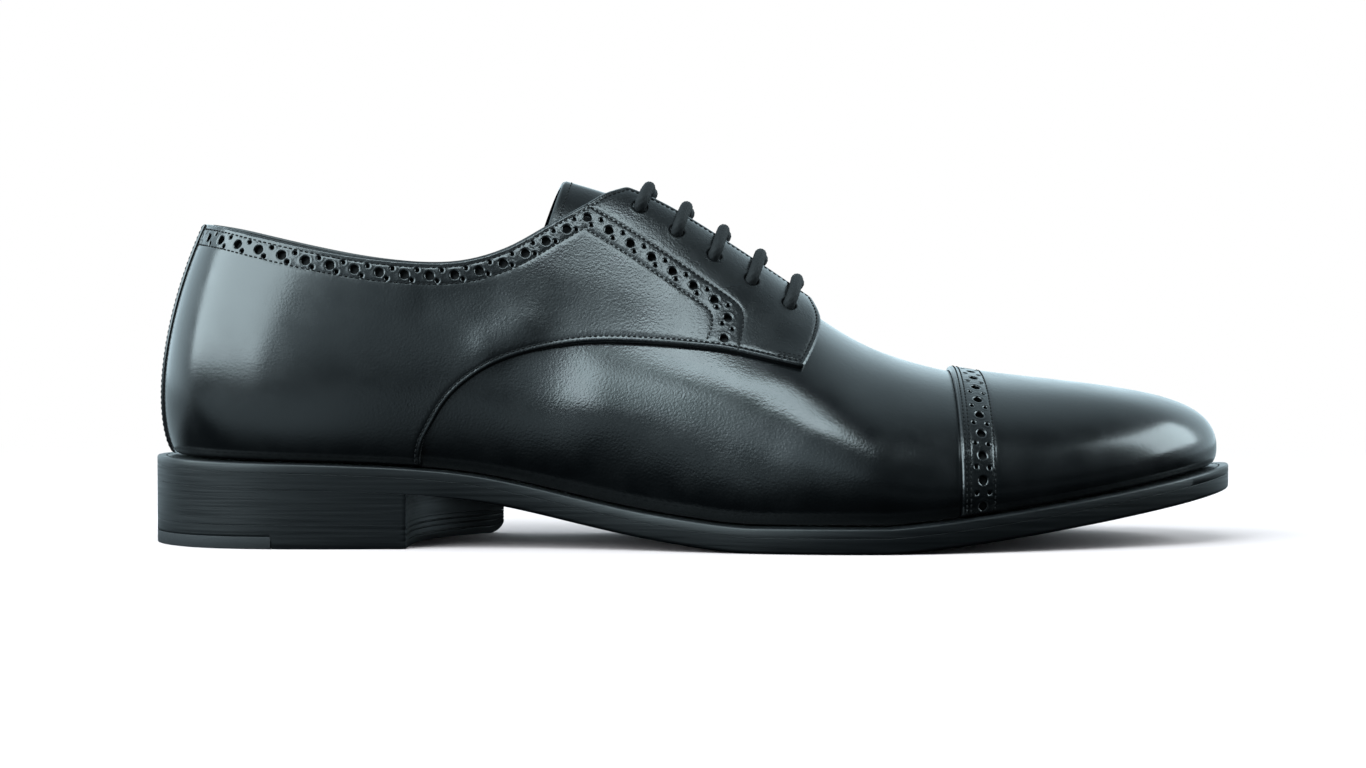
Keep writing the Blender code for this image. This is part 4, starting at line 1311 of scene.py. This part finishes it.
def make_heel(edge, rubber):
    """Heel stack, top lift with its layers, and rubber tip, flush with the sole's edge."""
    outline = even_loop(heel_outline(breast_station), 420)
    on_front = outline[:, 0] > breast_station(outline[:, 1]) - 0.4
    on_front = soften(on_front.astype(float), 3)

    def seat(ring):
        return tread_height(ring[:, 0]) - HAIRLINE

    stack = layered_block(
        "heel_layers",
        outline,
        (*LAYER_LOWER, *LAYER_UPPER),
        flat(TOP_LIFT_THICK + HAIRLINE),
        seat,
        edge,
        "edge_leather",
    )
    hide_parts("heel_stack")
    behind = outline[:, 0] < TIP_LENGTH + GAP

    def lift_floor(ring):
        from_end = (ring[:, 0] - BREAST_OUTER_X - BREAST_SWEEP + CORNER_CUT) / CORNER_CUT
        rounding = 1 - np.sqrt(1 - np.clip(from_end, 0, 0.98) ** 2)
        corner = CORNER_CUT * rounding * smooth(ring[:, 1], 8.0, 12.0)
        return np.where(behind, TIP_THICK + HAIRLINE, corner)

    layers = []
    for share in LIFT_LAYERS:
        groove = LAYER_GROOVE * on_front
        layers += [(0.0, share, -0.3), (groove, share, -0.05), (groove, share, 0.05), (0.0, share, 0.3)]
    lift = layered_block(
        "top_lift_leather",
        outline,
        (*FLOOR_LOWER, *layers, *LAYER_UPPER),
        lift_floor,
        flat(TOP_LIFT_THICK),
        edge,
        "edge_leather",
    )
    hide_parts("top_lift")
    tip_line = even_loop(heel_outline(lambda y: TIP_LENGTH + 0 * y), 300)
    tip = layered_block(
        "heel_tip_rubber",
        tip_line,
        (*FLOOR_LOWER, *LAYER_UPPER),
        flat(0),
        flat(TIP_THICK),
        rubber,
        "tip_rubber",
    )
    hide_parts("heel_tip")


def facing_edge(turn, share):
    """Share at which the facing reaches the throat gap, going up from a place on it."""
    shares = np.linspace(share, 1, 200)
    turns = np.full(200, turn)
    sides = offset_surface(turns, shares, quarter_high(turns, shares))[:, 1]
    return float(np.interp(-THROAT_HALF_GAP, -np.abs(sides), shares))


def lace_path(spots):
    """Up through the outer eyelet, over both facings and down through the inner one."""
    ends = []
    for (turn, share), lean in zip(spots, (LACE_LEAN, -LACE_LEAN)):
        edge = facing_edge(turn + lean, share)
        points = []
        for along, height in LACE_RISE:
            at_turn = np.array(turn + lean * along)
            at_share = np.array(share + (edge - share) * along)
            skin = quarter_high(at_turn, at_share)
            points.append(offset_surface(at_turn, at_share, skin + height))
        ends.append(points)
    outer, inner = ends
    middle = (outer[-1] + inner[-1]) / 2 + np.array([0.0, 0.0, LACE_CROWN])
    return np.array([*outer, middle, *inner[::-1]])


LACE_SIDES = 28
LACE_STEP = 0.28
BRAID_STRANDS = 3.5  # half the strands of a set
BRAID_TWIST = 2.2  # radians a millimetre
BRAID_DEPTH = (0.9, 0.07)  # share of the radius at its lowest, and that each strand adds


def braided_tube(path, radius):
    """Points and faces of a round braided cord: two sets of strands wound opposite ways."""
    gone = gone_along(path)
    stops = np.linspace(0, gone[-1], int(gone[-1] / LACE_STEP))
    line = np.stack([Curve(gone, column)(stops)[0] for column in path.T], -1)
    ahead = unit(np.gradient(line, axis=0))
    side = np.cross(ahead[0], (1.0, 0.0, 0.0))
    angles = np.arange(LACE_SIDES) * 2 * math.pi / LACE_SIDES
    points = []
    for place, way, stop in zip(line, ahead, stops):
        side = side - way * (side @ way)
        side /= np.linalg.norm(side)
        up = np.cross(way, side)
        strands = sum(
            np.abs(np.sin(BRAID_STRANDS * angles + turn * stop)) for turn in (BRAID_TWIST, -BRAID_TWIST)
        )
        size = radius * (BRAID_DEPTH[0] + BRAID_DEPTH[1] * strands)
        points.extend(
            place + size[:, None] * (np.cos(angles)[:, None] * side + np.sin(angles)[:, None] * up)
        )
    starts = range(0, len(points), LACE_SIDES)
    faces = [f for low in starts[:-1] for f in band_faces(LACE_SIDES, low, low + LACE_SIDES)]
    faces.append(tuple(range(LACE_SIDES))[::-1])
    faces.append(tuple(range(starts[-1], len(points))))
    return points, faces


def hidden_run(start, end):
    """The lace under a facing, from one eyelet to another on the same side."""
    points = []
    for along in (0.3, 0.7):
        turn, share = start + (end - start) * along
        share = np.array(share + LACE_UNDER)
        turn = np.array(turn)
        low = quarter_low(turn, share) - LACE_RADIUS - LACE_CLEAR
        points.append(offset_surface(turn, share, low))
    return points


def make_laces(cotton):
    """One lace: straight bars over the throat, joined by runs under the facings."""
    outer, inner = [QUARTER.find(eyelet_places(), inner_side) for inner_side in (False, True)]
    path = []
    for i, pair in enumerate(zip(outer, inner)):
        bar = lace_path(pair)
        path.extend(bar if i % 2 == 0 else bar[::-1])
        side = inner if i % 2 == 0 else outer
        if i < EYELETS - 1:
            path.extend(hidden_run(side[i], side[i + 1]))
    made = new_piece("lace", *braided_tube(np.array(path), LACE_RADIUS), [cotton], "waxed_cotton", sharp=70)
    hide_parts(*[f"lace_bar_{i + 1}" for i in range(EYELETS)])


def ink(code):
    """Linear colour of an sRGB hex value."""
    parts = [int(code[i : i + 2], 16) / 255 for i in (1, 3, 5)]
    return (*[p / 12.92 if p <= 0.04045 else ((p + 0.055) / 1.055) ** 2.4 for p in parts], 1.0)


def node(tree, kind, inputs=None, **settings):
    """Adds a node with its settings, and its inputs as values or links."""
    made = tree.nodes.new(kind)
    for key, value in settings.items():
        setattr(made, key, value)
    for socket, value in (inputs or {}).items():
        if isinstance(value, bpy.types.NodeSocket):
            tree.links.new(value, made.inputs[socket])
        else:
            made.inputs[socket].default_value = value
    return made


def new_finish(name, **values):
    """A material with values on its shader's own sockets, its tree, shader and place in metres."""
    made = bpy.data.materials.new(name)
    made.use_nodes = True
    tree = made.node_tree
    shader = tree.nodes["Principled BSDF"]
    for socket, value in values.items():
        shader.inputs[socket.replace("_", " ")].default_value = value
    place = node(tree, "ShaderNodeTexCoord").outputs["Object"]
    return made, tree, shader, place


RANGE = ("Value", "From Min", "From Max", "To Min", "To Max")
PATTERN_SPAN = (0.3, 0.7)  # where most of a noise pattern's values lie


def grade(tree, shader, pattern, colours, rough):
    """Lets a pattern grade colour and roughness between two values each. Returns the roughness."""
    ends = {"Factor": pattern, "A": ink(colours[0]), "B": ink(colours[1])}
    tint = node(tree, "ShaderNodeMix", ends, data_type="RGBA")
    gloss = node(tree, "ShaderNodeMapRange", dict(zip(RANGE, (pattern, *PATTERN_SPAN, *rough))))
    tree.links.new(tint.outputs["Result"], shader.inputs["Base Color"])
    tree.links.new(gloss.outputs["Result"], shader.inputs["Roughness"])
    return gloss.outputs["Result"]


# Stations in metres between which the calf changes, and its amounts there.
PAST_HEEL = (-0.1, -0.045, 0.3, 1.0)
PAST_TOE = (0.06, 0.1, 1.0, 0.55)
BRUSHED_FROM = (-0.085, -0.045, 0.0)
# Real pores are about 0.2 mm apart: drawn coarser, so that they show at the photo's distance.
PORE_MM = 0.5
COCKLE_MM = 0.75
COCKLE_HEIGHT = 1.5  # in heights of the pores
CLOUD_MM = 9.0


def polished_calf(name, dull, grain):
    """Box calf, waxed and brushed: near black with a cool tint. A thin wax coat mirrors large lights
    softly and the grain breaks them up, least on the stiff, well polished heel and toe. dull is the
    roughness that is added past the heel, where the leather is brushed less, and grain is the height
    of the pores in millimetres."""
    made, tree, shader, place = new_finish(
        name, IOR=1.5, Coat_Weight=0.25, Coat_Roughness=0.14, Coat_IOR=1.45
    )
    station = node(tree, "ShaderNodeSeparateXYZ", {"Vector": place}).outputs["X"]
    past_heel, past_toe, brushed = [
        node(tree, "ShaderNodeMapRange", dict(zip(RANGE, (station, *span)))).outputs["Result"]
        for span in (PAST_HEEL, PAST_TOE, (*BRUSHED_FROM, dull))
    ]
    amount = node(tree, "ShaderNodeMath", {0: past_heel, 1: past_toe}, operation="MULTIPLY")
    amount = amount.outputs["Value"]
    pores = node(
        tree,
        "ShaderNodeTexVoronoi",
        {"Vector": place, "Scale": 1 / (PORE_MM * MM)},
        feature="SMOOTH_F1",
    )
    cockle, cloud = [
        node(tree, "ShaderNodeTexNoise", {"Vector": place, "Scale": 1 / (size * MM), "Detail": detail})
        for size, detail in ((COCKLE_MM, 3.0), (CLOUD_MM, 2.0))
    ]
    relief = {"Height": pores.outputs["Distance"], "Distance": grain * MM, "Strength": amount}
    relief = {
        "Height": cockle.outputs["Fac"],
        "Distance": COCKLE_HEIGHT * grain * MM,
        "Strength": amount,
        "Normal": node(tree, "ShaderNodeBump", relief).outputs["Normal"],
    }
    bump = node(tree, "ShaderNodeBump", relief).outputs["Normal"]
    gloss = grade(tree, shader, cloud.outputs["Fac"], ("#030405", "#060708"), (0.19, 0.27))
    rough = node(tree, "ShaderNodeMath", {0: gloss, 1: brushed}).outputs["Value"]
    tree.links.new(rough, shader.inputs["Roughness"])
    tree.links.new(bump, shader.inputs["Normal"])
    tree.links.new(bump, shader.inputs["Coat Normal"])
    return made


STREAK_MM = 0.8
STREAKS = (30.0, 30.0, 1 / (STREAK_MM * MM))  # drawn out along the edge
STREAK_DEPTH = 0.06


def sole_edge_leather():
    """Sole leather, cut, inked and burnished: black with fine streaks that run along the edge."""
    made, tree, shader, place = new_finish("burnished_sole_edge", IOR=1.4)
    drawn = node(tree, "ShaderNodeMapping", {"Vector": place, "Scale": STREAKS}).outputs["Vector"]
    streak = node(tree, "ShaderNodeTexNoise", {"Vector": drawn, "Scale": 1.0, "Detail": 5.0})
    streak = streak.outputs["Fac"]
    relief = {"Height": streak, "Distance": STREAK_DEPTH * MM, "Strength": 0.6}
    grade(tree, shader, streak, ("#040506", "#090b0d"), (0.3, 0.46))
    bump = node(tree, "ShaderNodeBump", relief)
    tree.links.new(bump.outputs["Normal"], shader.inputs["Normal"])
    return made


def plain_finish(name, colours, rough, grain_mm, depth_mm, **values):
    """A matt finish with a fine grain in its colour, gloss and relief."""
    made, tree, shader, place = new_finish(name, **values)
    cloth = {"Vector": place, "Scale": 1 / (grain_mm * MM), "Detail": 3.0}
    grain = node(tree, "ShaderNodeTexNoise", cloth).outputs["Fac"]
    grade(tree, shader, grain, colours, rough)
    bump = node(
        tree, "ShaderNodeBump", {"Height": grain, "Distance": depth_mm * MM, "Strength": 0.7}
    )
    tree.links.new(bump.outputs["Normal"], shader.inputs["Normal"])
    return made


def make_pieces():
    calf = polished_calf("polished_calf", 0.0, 0.024)
    brushed_calf = polished_calf("brushed_calf", 0.05, 0.034)
    edge = sole_edge_leather()
    # Vegetable tanned lining, dyed through and left matt: soft dark grain.
    lining = plain_finish("lining_leather", ("#191817", "#24221f"), (0.5, 0.65), 0.9, 0.06)
    # Unpolished leather behind the punched holes: dull, so the holes look deep.
    backing = plain_finish("backing_leather", ("#040404", "#070707"), (0.8, 0.9), 0.8, 0.03)
    # Moulded rubber: matt, with a little grit.
    rubber = plain_finish("moulded_rubber", ("#141517", "#1c1d1f"), (0.55, 0.7), 0.6, 0.04)
    # Braided cotton, waxed: dull charcoal fibres.
    cotton = plain_finish(
        "waxed_cotton_braid", ("#040506", "#0b0d0f"), (0.7, 0.85), 0.35, 0.08, Specular_IOR_Level=0.3
    )
    # Twisted polyester thread, bonded: dull black.
    twine = plain_finish(
        "bonded_thread", ("#020203", "#050506"), (0.75, 0.9), 0.3, 0.02, Specular_IOR_Level=0.25
    )
    thread = Thread()
    make_upper(calf, lining, backing)
    make_quarters(brushed_calf, thread)
    make_toe_cap(calf, thread)
    make_back_strip(calf, thread)
    make_tongue(calf, thread)
    make_sole(edge, lining, thread)
    make_heel(edge, rubber)
    make_laces(cotton)
    new_piece("seam_stitches", thread.points, thread.faces, [twine], "black_calf", sharp=80)


CAMERA_SENSOR = 36.0
CAMERA_LENS = 87.8
CAMERA_PLACE = (-0.0033, -0.9474, 0.075)
CAMERA_DIP = 1.84  # degrees below level


def make_camera():
    camera = bpy.data.objects.new("camera", bpy.data.cameras.new("camera"))
    camera.data.sensor_width = CAMERA_SENSOR
    camera.data.lens = CAMERA_LENS
    camera.location = CAMERA_PLACE
    camera.rotation_euler = (math.radians(90 - CAMERA_DIP), 0, 0)
    bpy.context.scene.collection.objects.link(camera)
    bpy.context.scene.camera = camera


LIGHT_TINT = ink("#e2f8ff")
BOUNCE_TINT = ink("#d6f0fb")


def soft_box(name, side, rise, reach, size, shine):
    """A soft light, placed by its angle to the right of the camera, its angle up and its distance."""
    side, rise = math.radians(side), math.radians(rise)
    way = Vector(
        (math.sin(side) * math.cos(rise), -math.cos(side) * math.cos(rise), math.sin(rise))
    )
    light = bpy.data.lights.new(name, "AREA")
    light.shape = "RECTANGLE"
    light.size, light.size_y = size
    light.energy = shine * math.pi * size[0] * size[1]
    light.color = LIGHT_TINT[:3]
    made = bpy.data.objects.new(name, light)
    made.location = Vector((0, 0, 0.04)) + reach * way
    made.rotation_euler = way.to_track_quat("Z", "Y").to_euler()
    made.visible_camera = False
    bpy.context.scene.collection.objects.link(made)


# A smooth change of brightness along an axis, between two places or directions.
Fade = namedtuple("Fade", "axis low high start end")
# Painted bounce light and painted reflection: how bright the floor glows, by place, to all but camera rays
FLOOR_PAINTED_DARK = Fade("X", -0.14, -0.05, 0.8, 0.1)  # painted reflection: the floor's glow is dark before the toe, in place of a black card
FLOOR_FRONT = Fade("Y", -0.17, -0.07, 1.0, 0.05)
FLOOR_BACK = Fade("Y", 0.0, 0.12, 0.0, 0.7)
FLOOR_RIM = (0.25, 0.6)  # metres, where the paper runs out
FLOOR_REACH = 12.0
ROOM_BEHIND = Fade("Y", -0.35, 0.5, 0.0, 1.8)
ROOM_TOP = Fade("Z", 0.5, 0.85, 1.0, 0.5)
ROOM_LEFT = Fade("X", -0.5, 0.4, 1.4, 0.12)
ROOM_EDGE = Fade("Z", 0.03, 0.22, 0.15, 1.0)


def brightness(tree, way, first, second):
    """Brightness by place or direction: of each group of fades the product, then the greater."""
    axes = node(tree, "ShaderNodeSeparateXYZ", {"Vector": way}).outputs
    groups = []
    for group in (first, second):
        fades = [
            node(
                tree,
                "ShaderNodeMapRange",
                dict(zip(RANGE, (axes[fade.axis], *fade[1:]))),
                interpolation_type="SMOOTHSTEP",
            ).outputs["Result"]
            for fade in group
        ]
        product = fades[0]
        for fade in fades[1:]:
            product = node(tree, "ShaderNodeMath", {0: product, 1: fade}, operation="MULTIPLY")
            product = product.outputs["Value"]
        groups.append(product)
    greater = node(tree, "ShaderNodeMath", dict(enumerate(groups)), operation="MAXIMUM")
    return greater.outputs["Value"]


def camera_sees(tree, shown, mirrored):
    """One surface for the camera and another for light and mirror images."""
    seen = node(tree, "ShaderNodeLightPath").outputs["Is Camera Ray"]
    return node(tree, "ShaderNodeMixShader", {0: seen, 1: mirrored, 2: shown}).outputs["Shader"]


def paper_floor():
    """White paper that runs out into a white surround. To light and mirror rays it is a painted glow
    instead, painted bounce light and painted reflection: bright behind the shoe and dark in front of the
    toe, in place of a black card."""
    made, tree, shader, place = new_finish("paper_floor", Roughness=0.9, Specular_IOR_Level=0.1)
    shader.inputs["Base Color"].default_value = ink("#d0bdba")
    far = node(tree, "ShaderNodeVectorMath", {0: place}, operation="LENGTH").outputs["Value"]
    rim = dict(zip(RANGE, (far, *FLOOR_RIM)))
    rim = node(tree, "ShaderNodeMapRange", rim, interpolation_type="SMOOTHSTEP").outputs["Result"]
    glow = node(tree, "ShaderNodeEmission", {"Color": (1, 1, 1, 1), "Strength": 1.0})
    lit = node(
        tree, "ShaderNodeMixShader", {0: rim, 1: shader.outputs["BSDF"], 2: glow.outputs["Emission"]}
    )
    # Painted bounce light and reflection: a glow by place, seen by all but camera rays
    painted_bounce = brightness(tree, place, (FLOOR_PAINTED_DARK, FLOOR_FRONT), (FLOOR_BACK,))
    dim = node(tree, "ShaderNodeEmission", {"Color": BOUNCE_TINT, "Strength": painted_bounce})
    both = camera_sees(tree, lit.outputs["Shader"], dim.outputs["Emission"])
    tree.links.new(both, tree.nodes["Material Output"].inputs["Surface"])
    return made


def make_surround():
    """White to the camera. Round the shoe it is bright behind, dim to the left and dark in front."""
    world = bpy.data.worlds.new("studio")
    bpy.context.scene.world = world
    world.use_nodes = True
    tree = world.node_tree
    tree.nodes.clear()
    way = node(tree, "ShaderNodeTexCoord").outputs["Generated"]
    shine = brightness(tree, way, (ROOM_BEHIND, ROOM_TOP), (ROOM_LEFT, ROOM_EDGE))
    room = node(tree, "ShaderNodeBackground", {"Color": BOUNCE_TINT, "Strength": shine})
    white = node(tree, "ShaderNodeBackground", {"Color": (1, 1, 1, 1), "Strength": 1.0})
    both = camera_sees(tree, white.outputs["Background"], room.outputs["Background"])
    node(tree, "ShaderNodeOutputWorld", {"Surface": both})


def make_studio():
    """White floor and surround, with soft boxes to the left, to the right and over the front."""
    floor = bpy.data.meshes.new("floor")
    corners = [(-1, -1), (1, -1), (1, 1), (-1, 1)]
    floor.from_pydata(
        [(x * FLOOR_REACH, y * FLOOR_REACH, 0) for x, y in corners],
        [],
        [(0, 1, 2, 3)],
    )
    floor.materials.append(paper_floor())
    made = bpy.data.objects.new("floor", floor)
    bpy.context.scene.collection.objects.link(made)
    make_surround()
    soft_box("left_box", -62, 29, 1.2, (1.68, 0.95), 7.0)
    soft_box("right_box", 88, 28, 1.2, (0.8, 0.72), 8.0)
    soft_box("front_top_box", -6, 60, 1.2, (0.85, 0.34), 9.5)
    bpy.context.scene.view_settings.view_transform = "Standard"


make_camera()
make_pieces()
make_studio()
